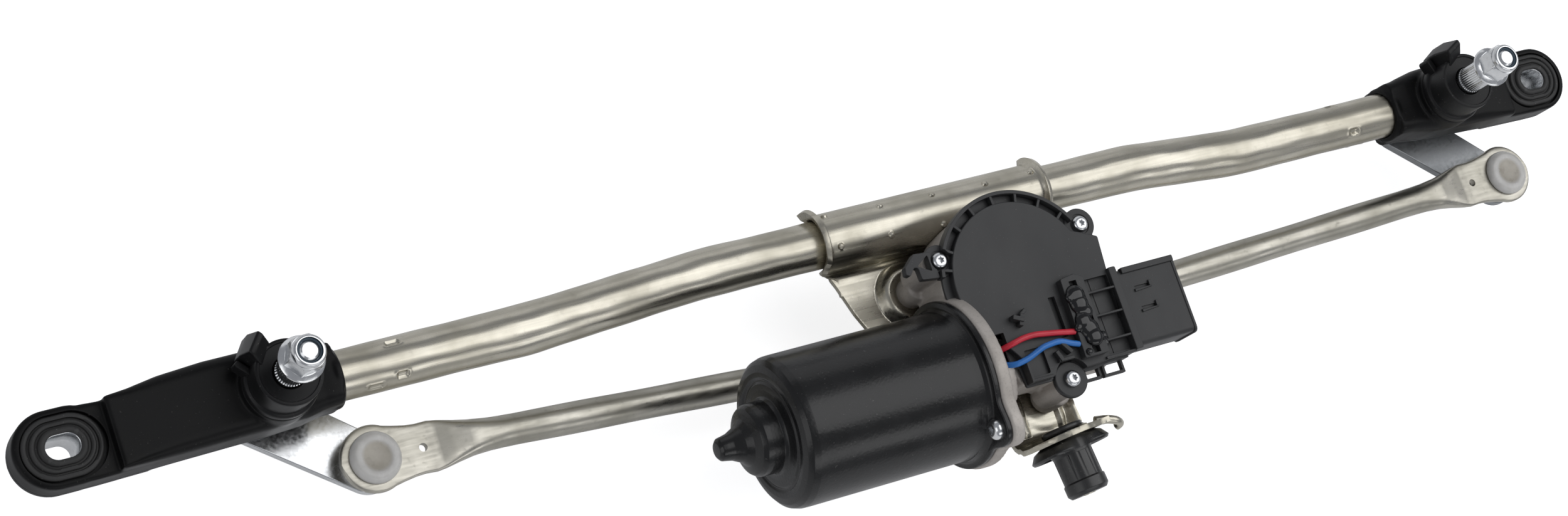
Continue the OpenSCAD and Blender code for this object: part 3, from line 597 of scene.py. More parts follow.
def moulded(name, color, rough=(0.45, 0.6), grain=0.35, depth=0.03, dust=0.25, edge=0.15, **more):
    """Moulded plastic: fine grain, faint flow marks, paler edges and dust."""
    n = Nodes(name)
    cloud = n.noise(12, 4, (1, 0.5, 1))
    tint = n.mix(n.remap(cloud, 0.3, 0.72), color, tuple(min(1, c * 1.35 + 0.004) for c in color))
    specks = n.remap(n.noise(0.8, 1, rough=0.4), 0.74, 0.775, 0, dust)
    tint = n.mix(specks, tint, (0.42, 0.41, 0.39))
    if edge > 0:
        tint = n.mix(n.math("MULTIPLY", n.edges(), edge), tint,
                     tuple(min(1, c * 2.5 + 0.05) for c in color))
    normal = n.bump(n.noise(grain, 2), depth, 0.6, n.bump(n.noise(6, 2), 0.05, 0.5))
    return n.done(tint, n.remap(cloud, 0.3, 0.7, *rough), 0.0, normal, **more)


def capped_nylon(name):
    """Milky nylon, browner where the ball shows through the middle."""
    n = Nodes(name)
    across = n.split("Generated")
    dx, dy = (n.math("SUBTRACT", across[k], 0.5) for k in ("X", "Y"))
    far = n.math("SQRT", n.math("ADD", n.math("MULTIPLY", dx, dx), n.math("MULTIPLY", dy, dy)))
    cloud = n.noise(5, 3)
    milky = n.mix(n.remap(cloud, 0.3, 0.7), (0.6, 0.59, 0.57), (0.5, 0.49, 0.47))
    middle = n.mix(n.remap(cloud, 0.3, 0.7), (0.36, 0.33, 0.28), (0.46, 0.43, 0.37))
    tint = n.mix(n.remap(far, 0.24, 0.31), middle, milky)
    normal = n.bump(n.noise(0.8, 2), 0.02, 0.5)
    return n.done(tint, n.remap(cloud, 0.3, 0.7, 0.24, 0.36), 0.0, normal, Subsurface_Weight=0.4,
                  Subsurface_Radius=(0.003, 0.003, 0.0028), Subsurface_Scale=1.0)


def cast_metal(name, light, dark, grain=0.9, depth=0.12):
    """Unpolished casting: grainy, mottled and dull."""
    n = Nodes(name)
    cloud = n.noise(14, 4)
    tint = n.mix(n.remap(cloud, 0.3, 0.7), light, dark)
    tint = n.mix(n.remap(n.noise(0.8, 3), 0.55, 0.75, 0, 0.4), tint, dimmed(dark, 0.55))
    normal = n.bump(n.noise(grain, 4), depth, 0.7)
    return n.done(tint, n.remap(cloud, 0.3, 0.7, 0.5, 0.68), 0.55, normal)


def simple_metal(name, color, rough=0.35, spread=0.1, grain=0.6):
    """Plain turned or drawn metal, with a fine varied finish."""
    n = Nodes(name)
    cloud = n.noise(7, 4)
    tint = n.mix(n.remap(cloud, 0.3, 0.7), color, dimmed(color, 0.72))
    normal = n.bump(n.noise(grain, 3), 0.03, 0.6)
    return n.done(tint, n.remap(cloud, 0.3, 0.7, rough - spread / 2, rough + spread), 1.0, normal)


# each look: its maker and the maker's arguments in order, with any shader inputs last
LOOKS = {
    "zinc_steel": (plated_steel, (0.6, 0.57, 0.49), (0.42, 0.395, 0.325), (0.2, 0.36), (0.04, 1, 1), 1.1,
                   0.3, 0.015),
    "bright_zinc": (plated_steel, (0.8, 0.81, 0.82), (0.62, 0.63, 0.64), (0.14, 0.26), (1, 1, 1), 0.7,
                    0.25, 0.02),
    # a darker copy of bright_zinc that paints the shade on the right lever's face
    "dull_zinc": (plated_steel, (0.34, 0.35, 0.36), (0.24, 0.25, 0.26), (0.3, 0.42), (1, 1, 1), 0.7, 0.35,
                  0.02),
    "link_steel": (plated_steel, (0.5, 0.48, 0.425), (0.36, 0.345, 0.295), (0.26, 0.42), (0.12, 1, 1), 0.9,
                   0.5, 0.02),
    "hidden_steel": (simple_metal, (0.5, 0.5, 0.52), 0.32),
    "housing_black": (black_coat, 0.0035, (0.34, 0.46), 0.9, 0.03, 0.08, -5.0, 0.14),
    "can_black": (black_coat, 0.005, (0.2, 0.3), 1.3, 0.07, 0.14, None, 0.42),
    "cover_plastic": (moulded, (0.02, 0.0203, 0.021), (0.42, 0.56), 0.35, 0.02, 0.1, 0.0,
                      {"Specular_IOR_Level": 0.45}),
    "cap_plastic": (moulded, (0.005, 0.005, 0.0054), (0.32, 0.44), 0.4, 0.02, 0.15, 0.0,
                    {"Specular_IOR_Level": 0.22}),
    "cast_alloy": (cast_metal, (0.52, 0.485, 0.45), (0.4, 0.37, 0.34)),
    "nylon": (moulded, (0.8, 0.8, 0.785), (0.28, 0.4), 0.8, 0.02, 0.1, 0.1,
              {"Subsurface_Weight": 0.6, "Subsurface_Radius": (0.004, 0.004, 0.0038),
               "Subsurface_Scale": 1.0,
               "Transmission_Weight": 0.25}),
    "cap_nylon": (capped_nylon,),
    "gear_plastic": (moulded, (0.72, 0.69, 0.58), (0.4, 0.5)),
    "rubber": (moulded, (0.013, 0.0128, 0.0125), (0.42, 0.6), 0.5, 0.05, 0.25, 0.4,
               {"Specular_IOR_Level": 0.35}),
    "glossy_rubber": (moulded, (0.008, 0.008, 0.008), (0.22, 0.38), 0.5, 0.04, 0.3, 0.3,
                      {"Specular_IOR_Level": 0.6}),
    "bronze": (simple_metal, (0.46, 0.33, 0.19), 0.42),
    "copper": (simple_metal, (0.66, 0.36, 0.2), 0.35),
    "ferrite": (moulded, (0.07, 0.07, 0.075), (0.55, 0.7), 0.4, 0.06),
    "phenolic": (moulded, (0.2, 0.11, 0.055), (0.5, 0.65), 0.5, 0.05),
    "sealant": (moulded, (0.004, 0.004, 0.0045), (0.06, 0.16), 2.5, 0.02, 0.0, 0.0),
    "red_insulation": (moulded, (0.48, 0.014, 0.032), (0.28, 0.38), 0.8, 0.02, 0.1, 0.1),
    "blue_insulation": (moulded, (0.014, 0.13, 0.42), (0.28, 0.38), 0.8, 0.02, 0.1, 0.1),
    "nut_ring": (moulded, (0.02, 0.04, 0.06), (0.3, 0.4), 0.5, 0.02, 0.1, 0.1),
}


def make_look(name, maker, *values):
    more = values[-1] if values and isinstance(values[-1], dict) else {}
    return maker(name + "_look", *[q for q in values if q is not more], **more)


MAT = {name: make_look(name, *row) for name, row in LOOKS.items()}


# ---------------------------------------------------------------- frame tube
def tube_shape():
    """The bent tube: slightly uneven, flatter at its bends, with punch marks that hold it in the housings."""
    first, last = -287.5, 237.0
    bends = (-202, -122, 88, 141)
    # close stations round the punch marks
    x = np.unique(np.round(np.concatenate([
        np.arange(first, last + 0.1, 1.7), np.arange(-276, -252, 0.4), np.arange(194, 214, 0.4), [last]]),
        3))
    wide = np.linspace(-340, 290, 1261)
    y = np.interp(wide, (first, *bends, last), (PIVOT_Y, PIVOT_Y, TUBE_Y, TUBE_Y, PIVOT_Y, PIVOT_Y))
    kernel = np.exp(-np.linspace(-2.5, 2.5, 61) ** 2)
    y = np.convolve(np.pad(y, 30, mode="edge"), kernel / kernel.sum(), "valid")
    centre = np.interp(x, wide, y)
    a = np.linspace(0, 2 * math.pi, 128, endpoint=False)
    waves = [(0.05, 0.021, 3, 0.4), (0.06, 0.043, 2, 1.7), (0.04, 0.09, 4, 2.9), (0.07, 0.013, 2, 0.2)]
    # marks: centre, half length along X, half width round the tube, depth
    marks = [((-259.3, 40.9, 8.0), 3.0, 1.15, 1.0), ((-258.7, 28.0, 7.2), 2.4, 1.4, 1.1),
             ((-269.7, 26.3, 5.1), 3.0, 1.2, 0.6), ((203, 29.3, 8.3), 2.5, 1.4, 1.1),
             ((208, 24.1, -2), 3.0, 1.3, 0.6), ((197.7, 43.6, 4.8), 2.6, 1.2, 0.8)]
    outer = []
    for xi, yi in zip(x, centre):
        r = np.full(len(a), TUBE_R)
        for amp, f, k, phase in waves:
            r += amp * np.sin(f * xi * 2 * math.pi / 2 + k * a + phase)
        for b in bends:
            r -= 0.18 * math.exp(-((xi - b) / 14) ** 2) * np.cos(2 * a)
        ny, nz = np.sin(a), np.cos(a)
        for (mx, my, mz), hl, hw, depth in marks:
            around = np.arctan2(ny * mz - nz * (my - yi), ny * (my - yi) + nz * mz) * TUBE_R
            u, v = (xi - mx) / hl, around / hw
            q = (u ** 4 + v ** 4) ** 0.25
            r -= depth * np.clip(1.6 - 1.4 * q ** 2, 0, 1)
            r += 0.2 * np.exp(-((q - 1.3) / 0.22) ** 2)
        outer.append(np.column_stack([np.full(len(a), xi), yi + r * ny, r * nz]))
    bore = 8.5
    inner = []
    for i in sorted({*range(0, len(x), 12), len(x) - 1}):
        inner.append(np.column_stack([np.full(len(a), x[i]), centre[i] + bore * np.sin(a),
                                      bore * np.cos(a)]))
    return loft(outer + inner[::-1], closed=True)


stand_in("frame_tube", to_object("t", tube_shape()), "zinc_steel", 50, False)


# ---------------------------------------------------------------- bracket
def saddle_shape():
    """Half sleeve over the tube, its front edge running down into the plate."""
    half_sleeve = arc(SADDLE_R, (TUBE_Y, 0), 90 - np.arange(98, -90.1, -4))
    y, z = half_sleeve[-1]
    # the third number is how far the end lips open there
    path = [(py, pz, 1.0 if py > TUBE_Y - 9 else 0.62) for py, pz in half_sleeve]
    path += [(y, z - 2.0, 0.3), (y, z - 4.0, 0.15)]
    bend = 4.7
    c = (y - bend, -4.05)
    path += [(*q, 0.1) for q in arc(bend, c, np.arange(-12, -90.1, -13))]
    path += [(c[0] - d, c[1] - bend, 0.0) for d in (1.5, 3.5, 6.0)]
    line = smooth_line(path, 0.95, 1)
    t = np.gradient(line[:, :2], axis=0)
    t /= np.linalg.norm(t, axis=1)[:, None]
    normal = np.column_stack([-t[:, 1], t[:, 0]])
    if normal[0, 0] < 0:
        normal = -normal
    first = SADDLE_X[0] + 9.8 * fade((TUBE_Y - 10.2 - line[:, 0] - 0.35 * line[:, 1]) / 9.0)
    lip_r = 3.6
    grid = []
    for k in np.linspace(0, 1, 122):
        end = min(k, 1 - k) * (SADDLE_X[1] - SADDLE_X[0])
        lip = max(0.0, 1 - end / lip_r)
        off = lip_r * (1 - math.sqrt(max(0.0, 1 - lip * lip))) * line[:, 2]
        grid.append(np.column_stack([first + (SADDLE_X[1] - first) * k,
                                     line[:, :2] + normal * off[:, None]]))
    return sheet(grid, 2.1)


def dimple(x, y, z):
    """A small round pip standing on the saddle."""
    lean = math.degrees(math.atan2(y - TUBE_Y, z))
    pip = lathe([(0, -0.6), (1.6, -0.6), (1.5, 0.1), (0.95, 0.85), (0, 1.05)], 20)
    scale = (SADDLE_R + 1.0) / math.hypot(y - TUBE_Y, z)
    return place(pip, (x, TUBE_Y + (y - TUBE_Y) * scale, z * scale), [("X", -lean)])


def plate_shape():
    xs, ys = np.arange(-72, 50.1, 0.75), np.arange(-60.0, 27.01, 0.75)
    gx, gy = np.meshgrid(xs, ys, indexing="ij")
    z = np.full(gx.shape, PLATE_TOP - PLATE_T / 2)
    # collars that rise to the motor's pillars, each with a seat inside
    for (cx, cy), rise, seat in zip(PILLAR_AT, (4.6, 3.4, 0.8), (3.0, 2.6, 0.8)):
        d = np.hypot(gx - cx, gy - cy)
        z += rise * fade((14.6 - d) / 4.6) - (rise - seat) * fade((9.8 - d) / 3.0)
    # two ribs that run down to the tab, and the edge raised beside them
    for cx in (-0.5, 17.5):
        side = np.clip(1 - np.abs(gx - cx) / 1.9, 0, 1)
        ends = np.clip(np.minimum(gy + 63, -38 - gy) / 5, 0, 1)
        z += 1.7 * side * ends
    z += 4.0 * np.clip((gx - 20.5) / 3.0, 0, 1) ** 1.5 * np.clip((-46 - gy) / 6, 0, 1)
    z += 1.2 * np.exp(-((gx + 44) / 7) ** 2) * np.clip((18 - gy) / 12, 0, 1) * 0.35
    return sheet(np.dstack([gx, gy, z]), PLATE_T)


def plate_outline():
    pts = [(-64, 27), (-62, 22), (-58, 9), (-54.6, 1.2), (-30, 1.2), (-29.6, -20), (-29.6, -43),
           (-9.5, -53), (-8, -60.2),
           (25, -60.2), (24.2, -52), (29, -38), (43, -20), (47.5, 3), (40, 21), (33, 27)]
    return fillet(pts, [2, 8, 6, 2, 2, 0, 4, 3, 0, 0, 3, 8, 10, 10, 8, 2], 5)


def tab_shape():
    """The plate's lower end, bent up into a tab that carries the rubber post."""
    rows = []
    for xv in np.linspace(-8.2, 26.5, 44):
        from_post = xv - ISOLATOR_AT[0]
        if from_post < 0:
            top = 4 + math.sqrt(max(0.0, 17.5 ** 2 - from_post ** 2))
        else:
            top = 15 + 6.5 * math.exp(-(from_post / 9) ** 2)
        bend = [(-56.0, -8.75), (-58.5, -8.75)] + arc(5.0, (-58.5, -3.75), (-112, -135, -158, -180))
        bend += [(-64.8, zz) for zz in np.linspace(-2.2, top, 12)]
        line = np.array(bend)
        line[2:, 0] -= np.linspace(0, 0.75, len(line) - 2)
        tilt = from_post * math.tan(math.radians(5.0))
        share = np.clip((-56 - line[:, 0]) / 7, 0, 1)
        rows.append(np.column_stack([np.full(len(line), xv), line[:, 0] + tilt * share, line[:, 1]]))
    return sheet(np.array(rows), 2.3)


def bracket():
    plate = to_object("p", plate_shape())
    boolean(plate, prism(plate_outline(), -20, 20, 0), "INTERSECT")
    unite(plate, saddle_shape(), tab_shape())
    pips = [(-65.3, 48.9, 7.9), (-39.8, 47.4, 9.4), (-15, 46.7, 10), (10.7, 45.6, 10.7), (34.0, 46, 10.4),
            (-64, 34.3, 11.2), (-39.7, 33.8, 10.9), (-14.4, 33, 10.4)]
    unite(plate, *[dimple(*at) for at in pips])
    bends = [(22, -63.0, 10.6), (27.5, -63.8, 11.4), (32.0, -65.2, 10.8), (35.0, -66.6, 8.4),
             (33.8, -67.2, 6.0)]
    hook = smooth_line(bends, 0.8, 3)
    unite(plate, rod(hook, 2.0, 14, lambda s: 1.0 - 0.15 * s))
    cut(plate, drum(14.5, -14, 0, soft=0))
    cut(plate, *[drum(3.2, -14, 2, p, 0) for p in PILLAR_AT])
    cut(plate, place(plug(6.05, -10, 10, 40), ISOLATOR_AT, ISOLATOR_TURN))
    bevel(plate, 0.35, 2, 50)
    stand_in("bracket_plate", plate, "zinc_steel", 42, False)


bracket()


# ---------------------------------------------------------------- pivot housings
def rounded_section(v0, v1, z0, z1, r, n=6):
    """A rounded rectangle in (across, up)."""
    r = min(r, 0.499 * (v1 - v0), 0.499 * (z1 - z0))
    pts = []
    for cx, cz, start in ((v1 - r, z1 - r, 0), (v0 + r, z1 - r, 90), (v0 + r, z0 + r, 180),
                          (v1 - r, z0 + r, 270)):
        for k in range(n + 1):
            a = math.radians(start + 90 * k / n)
            pts.append((cx + r * math.cos(a), cz + r * math.sin(a)))
    return np.array(pts)


def oval_ring(r, stretch, n=96):
    """An oval with flat sides, longer along X by twice the stretch."""
    a = (np.arange(n) + 0.5) * 2 * math.pi / n
    return np.column_stack([r * np.cos(a) + stretch * np.sign(np.cos(a)), r * np.sin(a)])


def on_pivot(x, shape, turn=None):
    return place(shape, (x, PIVOT_Y, 0), turn)


def housing(node, x, side, arm, sections, deck):
    """Cast arm, hub and eye. Each row of sections and deck is a station along the arm: distance from
    the pivot, low and high edge across, low and high Z, and corner radius."""
    def along(rows):
        rings = []
        for u, v0, v1, z0, z1, r in rows:
            s = rounded_section(v0, v1, z0, z1, r)
            rings.append(np.column_stack([np.full(len(s), x + side * u), PIVOT_Y + s[:, 0], s[:, 1]]))
        return loft(rings)

    hub = on_pivot(x, lathe([(0, -22), (10.4, -22), (11, -21.4), (11.4, -14), (13.6, -11), (14.8, 8),
                             (14.6, 14.4), (14.2, 15), (0, 15)], 64))
    neck = on_pivot(x, plug(10.2, 0, 27, 48))
    eye_at = (x + side * arm, EYE_Y, 0)
    eye = place(prism(oval_ring(15.0, 3.6), -9.5, 4.9, 1.5, 4), eye_at)
    lip = on_pivot(x + side * (sections[0][0] - 1.5),
                   lathe([(0, 0), (11.6, 0), (12.4, 0.8), (12.4, 2.6), (11.6, 3.4), (0, 3.4)], 48),
                   [("Y", 90 * side)])
    obj = cast(node, 0.62, 5, along(sections), along(deck), hub, neck, eye, lip)
    cut(obj, place(prism(oval_ring(9.7, 3.4), -14, 12, 0), eye_at),
        place(prism(oval_ring(12.9, 3.4) + [-0.4 * side, -0.3], 2.55, 16, 0), eye_at))
    cut(obj, on_pivot(x, plug(8, -24, 31, 48)))
    cut(obj, on_pivot(x - side * 11, plug(TUBE_R + 0.35, 0, 30, 80), [("Y", -90 * side)]))
    cx = x + side * (arm / 2 - 1)
    cut(obj, box(cx - 12, cx + 12, PIVOT_Y - 12.5, PIVOT_Y + 10, -14, 3, 0.5, 3))
    stand_in(node, obj, "housing_black", 50, False)


housing("left_housing", LEFT_X, -1, LEFT_ARM,
        [(-24.5, -12, 12.2, -11.8, 11.8, 4.5), (-20.5, -12.2, 12.6, -11.9, 11.6, 4.5),
         (-17, -12.4, 13.5, -12, 11.2, 5),
         (-10, -13.8, 15.4, -12, 11, 5.5), (6, -14.8, 16.6, -11.4, 11, 5), (24, -15.2, 16.5, -11.2, 11, 5),
         (42, -15.6, 15.2, -11, 10.8, 4.5), (54, -15.8, 13.1, -10.6, 10.6, 3),
         (63.5, -16.0, 12.0, -10, 10.4, 1.2)],
        [(50, -15.7, 12.6, -10.5, 4.6, 1.4), (64, -16.2, 12.0, -10, 4.7, 1.4),
         (72, -16.4, 12.4, -9.6, 4.8, 1.4), (80, -16.4, 13.0, -9.5, 4.9, 1.4)])
housing("right_housing", RIGHT_X, 1, RIGHT_ARM,
        [(-28.5, -12, 12.2, -11.8, 11.8, 4.5), (-24, -12.2, 12.6, -11.9, 11.8, 4.5),
         (-20, -12.4, 13.5, -12, 11.8, 5), (-10, -13.8, 15.4, -12, 11, 5.5), (6, -14.8, 16.2, -11.4, 11, 5),
         (20, -15.4, 15.2, -11, 10.8, 4.5),
         (31, -15.8, 14.0, -10.6, 10.2, 3), (37, -16, 13.2, -10, 9.6, 2.4)],
        [(28, -15.7, 13.6, -10.5, 4.6, 1.4), (42, -16.2, 13.0, -10, 4.7, 1.4),
         (50, -16.4, 13.0, -9.6, 4.8, 1.4), (56, -16.4, 13.2, -9.5, 4.9, 1.4)])


# ---------------------------------------------------------------- pivot caps, grommets, sleeves
def pivot_cap(node, x, turned):
    """Cap over the hub, with a slanted finger tab and a small hook beside it."""
    low, top = 15.05, 30.0
    body = lathe([(0, low), (14.2, low), (14.5, low + 0.4), (14.5, low + 2.6), (14.1, low + 3.3),
                  (13.3, low + 3.8),
                  (13.15, low + 4.4), (13.1, top - 1.2), (12.9, top - 0.3), (12.3, top), (11.6, top),
                  (11.3, top - 0.5), (0, top - 0.7)], 96)
    near = [(-14.8, 11.4, low + 0.1), (-14.8, 11.4, 24), (-13.5, 10.3, 33.3), (-12.2, 8.6, 33.3),
            (-9.3, 4.6, 29.6), (-8.6, 4.2, low + 0.1)]
    far = [(-9.2, 19.0, low + 0.1), (-9.2, 19.0, 24), (-7.8, 17.3, 33.3), (-6.4, 15.7, 33.3),
           (-3.8, 12.6, 29.6), (-3.6, 11.8, low + 0.1)]
    fin = to_object("fin", loft([near, far]))
    bevel(fin, 0.75, 3)
    hook = prism(capsule((-15.3, 8.9), (-10.4, 3.6), 1.35, 1.35), low + 0.1, 22.0, 0.5, 2)
    turn = [("Z", turned)]
    obj = fuse(node, on_pivot(x, body), on_pivot(x, to_shape(fin), turn), on_pivot(x, hook, turn))
    mouth = lathe([(0, top - 4), (6.12, top - 4), (6.12, top - 1.4), (7.6, top + 1), (0, top + 1)], 64)
    cut(obj, on_pivot(x, plug(10.25, low - 1, top - 2.5, 64)), on_pivot(x, mouth))
    stand_in(node, obj, "cap_plastic", 32)


pivot_cap("left_pivot_cap", LEFT_X, 0)
pivot_cap("right_pivot_cap", RIGHT_X, -25)


def slot_ring(grow, n=96):
    """Points round a 13 by 9 mm slot, grown outwards, at even angles."""
    half, r = 2.0, 4.5 + grow
    out = []
    for a in np.linspace(0, 2 * math.pi, n, endpoint=False):
        c, s = math.cos(a), math.sin(a)
        t = r / max(abs(s), TINY)
        if abs(c) * t > half:
            h = half * abs(c)
            t = h + math.sqrt(max(0.0, h * h - half * half + r * r))
        out.append((c * t, s * t))
    return np.array(out)


def grommet(node, x):
    """Rubber ring with oval ridges, squeezed into the eye."""
    rows = [(5.82, 2.05, -14.8), (5.82, 2.05, 5.0), (4.75, 2.0, 5.1), (4.7, 2.0, 5.7), (5.0, 2.05, 6.1),
            (6.2, 2.1, 6.2),
            (6.9, 2.2, 5.9), (7.2, 2.3, 4.9), (7.7, 2.5, 4.8), (8.0, 2.6, 5.5), (8.9, 2.8, 5.6),
            (9.3, 2.9, 5.3),
            (9.5, 3.0, 4.2), (10.0, 3.1, 4.1), (10.3, 3.2, 4.9), (11.3, 3.3, 5.0), (11.9, 3.4, 4.6),
            (12.1, 3.4, 3.8), (11.9, 3.4, 2.9), (9.5, 3.4, 2.65),
            (9.5, 3.4, -12.1), (12.1, 3.4, -12.1), (12.2, 3.4, -12.8), (11.9, 3.4, -14.6),
            (10.0, 3.0, -15), (6.5, 2.1, -15)]
    rings = [at_height(oval_ring(r, k), z) for r, k, z in rows]
    stand_in(node, to_object(node, place(loft(rings, closed=True), (x, EYE_Y, 0))), "rubber", 60, False)


grommet("left_grommet", LEFT_X - LEFT_ARM)
grommet("right_grommet", RIGHT_X + RIGHT_ARM)


def sleeve(node, x):
    """Slotted metal sleeve inside the grommet."""
    rows = [(0.0, -15.3), (0.0, 4.6), (0.25, 4.9), (1.0, 4.95), (1.18, 4.8), (1.18, -15.2), (1.0, -15.5),
            (0.25, -15.5)]
    rings = [at_height(slot_ring(g), z) for g, z in rows]
    stand_in(node, to_object(node, place(loft(rings, closed=True), (x, EYE_Y, 0))), "bright_zinc", 50,
             False)


sleeve("left_mount_sleeve", LEFT_X - LEFT_ARM)
sleeve("right_mount_sleeve", RIGHT_X + RIGHT_ARM)


# ---------------------------------------------------------------- rubber post under the motor
def isolator():
    """Rubber post with a curled bell, fluted neck and collar, on a metal insert."""
    def ribs(a, r, z):
        if 9.6 < z < 20.4:
            return r - 0.6 * max(0.0, 1 - abs(math.cos(6 * a)) * 3.2)
        if z < 10 and r > 8.4:
            valley = math.sin(a) ** 6
            return 8.4 + (r - 8.4) * (1 + 0.08 * math.cos(2 * a) - 0.78 * valley)
        return r

    outline = fillet([(0, 2.6), (11.5, 2.6), (14.9, 4.2), (17.0, 7.4), (16.2, 8.6), (13.8, 7.0),
                      (10.8, 6.6), (9.0, 8.0), (8.5, 9.5),
                      (8.5, 20.6), (9.1, 21.2), (9.1, 25.4), (7.8, 27), (3.1, 27), (3.1, 24), (0, 24)],
                     [0, 2, 1.5, 0.4, 0.4, 1.2, 1.5, 1.5, 2, 0.3, 0.3, 1.0, 0.8, 0.4, 0, 0], 4,
                     closed=False)
    obj = to_object("i", place(lathe([tuple(p) for p in outline], 128, warp=ribs), ISOLATOR_AT,
                               ISOLATOR_TURN))
    low = lathe([(0, -2.5), (8.6, -2.5), (9, -2.1), (9, -0.4), (8.6, -0.06), (5.95, -0.05), (5.95, 3.2),
                 (0, 3.2)], 64)
    unite(obj, place(low, ISOLATOR_AT, ISOLATOR_TURN))
    stand_in("isolator_rubber", obj, "glossy_rubber", 55, False)
    pin = lathe([(0, -2.8), (2.7, -2.8), (2.98, -2.5), (2.98, 26.8), (2.6, 27.3), (1.7, 27.3), (1.5, 27.0),
                 (1.5, 20), (0, 20)], 48)
    stand_in("isolator_insert", to_object("p", place(pin, ISOLATOR_AT, ISOLATOR_TURN)), "zinc_steel", 50,
             False)


isolator()


# ---------------------------------------------------------------- wiper shafts, nuts and levers
def wiper_shaft(node, x):
    """Shaft with a knurled seat for the arm and a ringed thread above it."""
    teeth = 36
    a = np.linspace(0, 2 * math.pi, 8 * teeth, endpoint=False)

    def ring(r, z, cut_depth=0.0):
        q = r - cut_depth * np.abs(np.sin(a * teeth / 2)) ** 1.3
        return np.column_stack([q * np.cos(a), q * np.sin(a), np.full(len(a), z)])

    rows = [ring(5.2, -33.5), ring(5.9, -33.0), ring(6, -32.4), ring(6, 30.6), ring(6, 31),
            ring(5.95, 31.3, 0.45),
            ring(5.9, 45.0, 0.5), ring(5.4, 45.9, 0.1), ring(4.0, 46.0)]
    z = 46.4
    while z < 57.8:
        rows += [ring(4.0, z), ring(3.72, z + 0.35), ring(4.0, z + 0.7)]
        z += 0.75
    rows += [ring(3.7, 58.6), ring(3.6, 58.7), ring(2.9, 59.2), ring(2.6, 59.2)]
    obj = to_object(node, on_pivot(x, loft(rows)))
    stand_in(node, obj, "bright_zinc", 35, False)


wiper_shaft("left_pivot_shaft", LEFT_X)
wiper_shaft("right_pivot_shaft", RIGHT_X)


def shaft_nut(node, x, turn):
    """Flange nut with a rolled collar that holds a locking ring."""
    hexagon = fillet(circle(7.55, (0, 0), 6), 0.3, 3)
    body = to_object(node, prism(hexagon, 1.2, 10.4, 0.1, 1))
    boolean(body, lathe([(0, 1.0), (7.6, 1.0), (7.6, 8.6), (6.5, 10.6), (0, 10.6)], 96), "INTERSECT")
    unite(body, lathe([(0, 0), (8.7, 0), (8.9, 0.25), (8.9, 1.1), (8.5, 1.5), (7.0, 2.3), (0, 2.3)], 96),
          lathe([(0, 9.8), (6.4, 9.8), (6.42, 11.6), (6.1, 12.5), (5.6, 12.95), (5.2, 13.0), (0, 13.0)],
                96))
    cut(body, lathe([(0, -1), (4.02, -1), (4.02, 11.3), (4.9, 11.3), (4.9, 14), (0, 14)], 72))
    v, _ = place((points_of(body), []), (x, PIVOT_Y, NUT_Z), [("Z", turn)])
    body.data.vertices.foreach_set("co", (v * MM).ravel())
    stand_in(node, body, "bright_zinc", 35)
    ring = lathe([(4.06, 11.35), (4.86, 11.35), (4.86, 12.2), (4.6, 12.5), (4.25, 12.4), (4.06, 12.1)], 72,
                 closed=True)
    obj = to_object(node + "_insert", place(ring, (x, PIVOT_Y, NUT_Z)))
    finish_piece(obj, node, "nut_ring", 50, False)


shaft_nut("left_shaft_nut", LEFT_X, 8)
shaft_nut("right_shaft_nut", RIGHT_X, 21)


def lever(node, x, ball, look):
    """Flat lever from the shaft to its ball stud."""
    outline = capsule((x, PIVOT_Y), ball, 12.5, 11.5, 40)
    obj = to_object(node, prism(outline, -32, -28, 0.55, 3))
    cut(obj, drum(6.02, -34, -26, (x, PIVOT_Y), 0), drum(4.02, -34, -26, ball, 0, 40))
    stand_in(node, obj, look, 35)


lever("left_lever", LEFT_X, LEFT_BALL, "bright_zinc")
# the right lever takes the darker zinc copy, painted shade on its face
lever("right_lever", RIGHT_X, RIGHT_BALL, "dull_zinc")


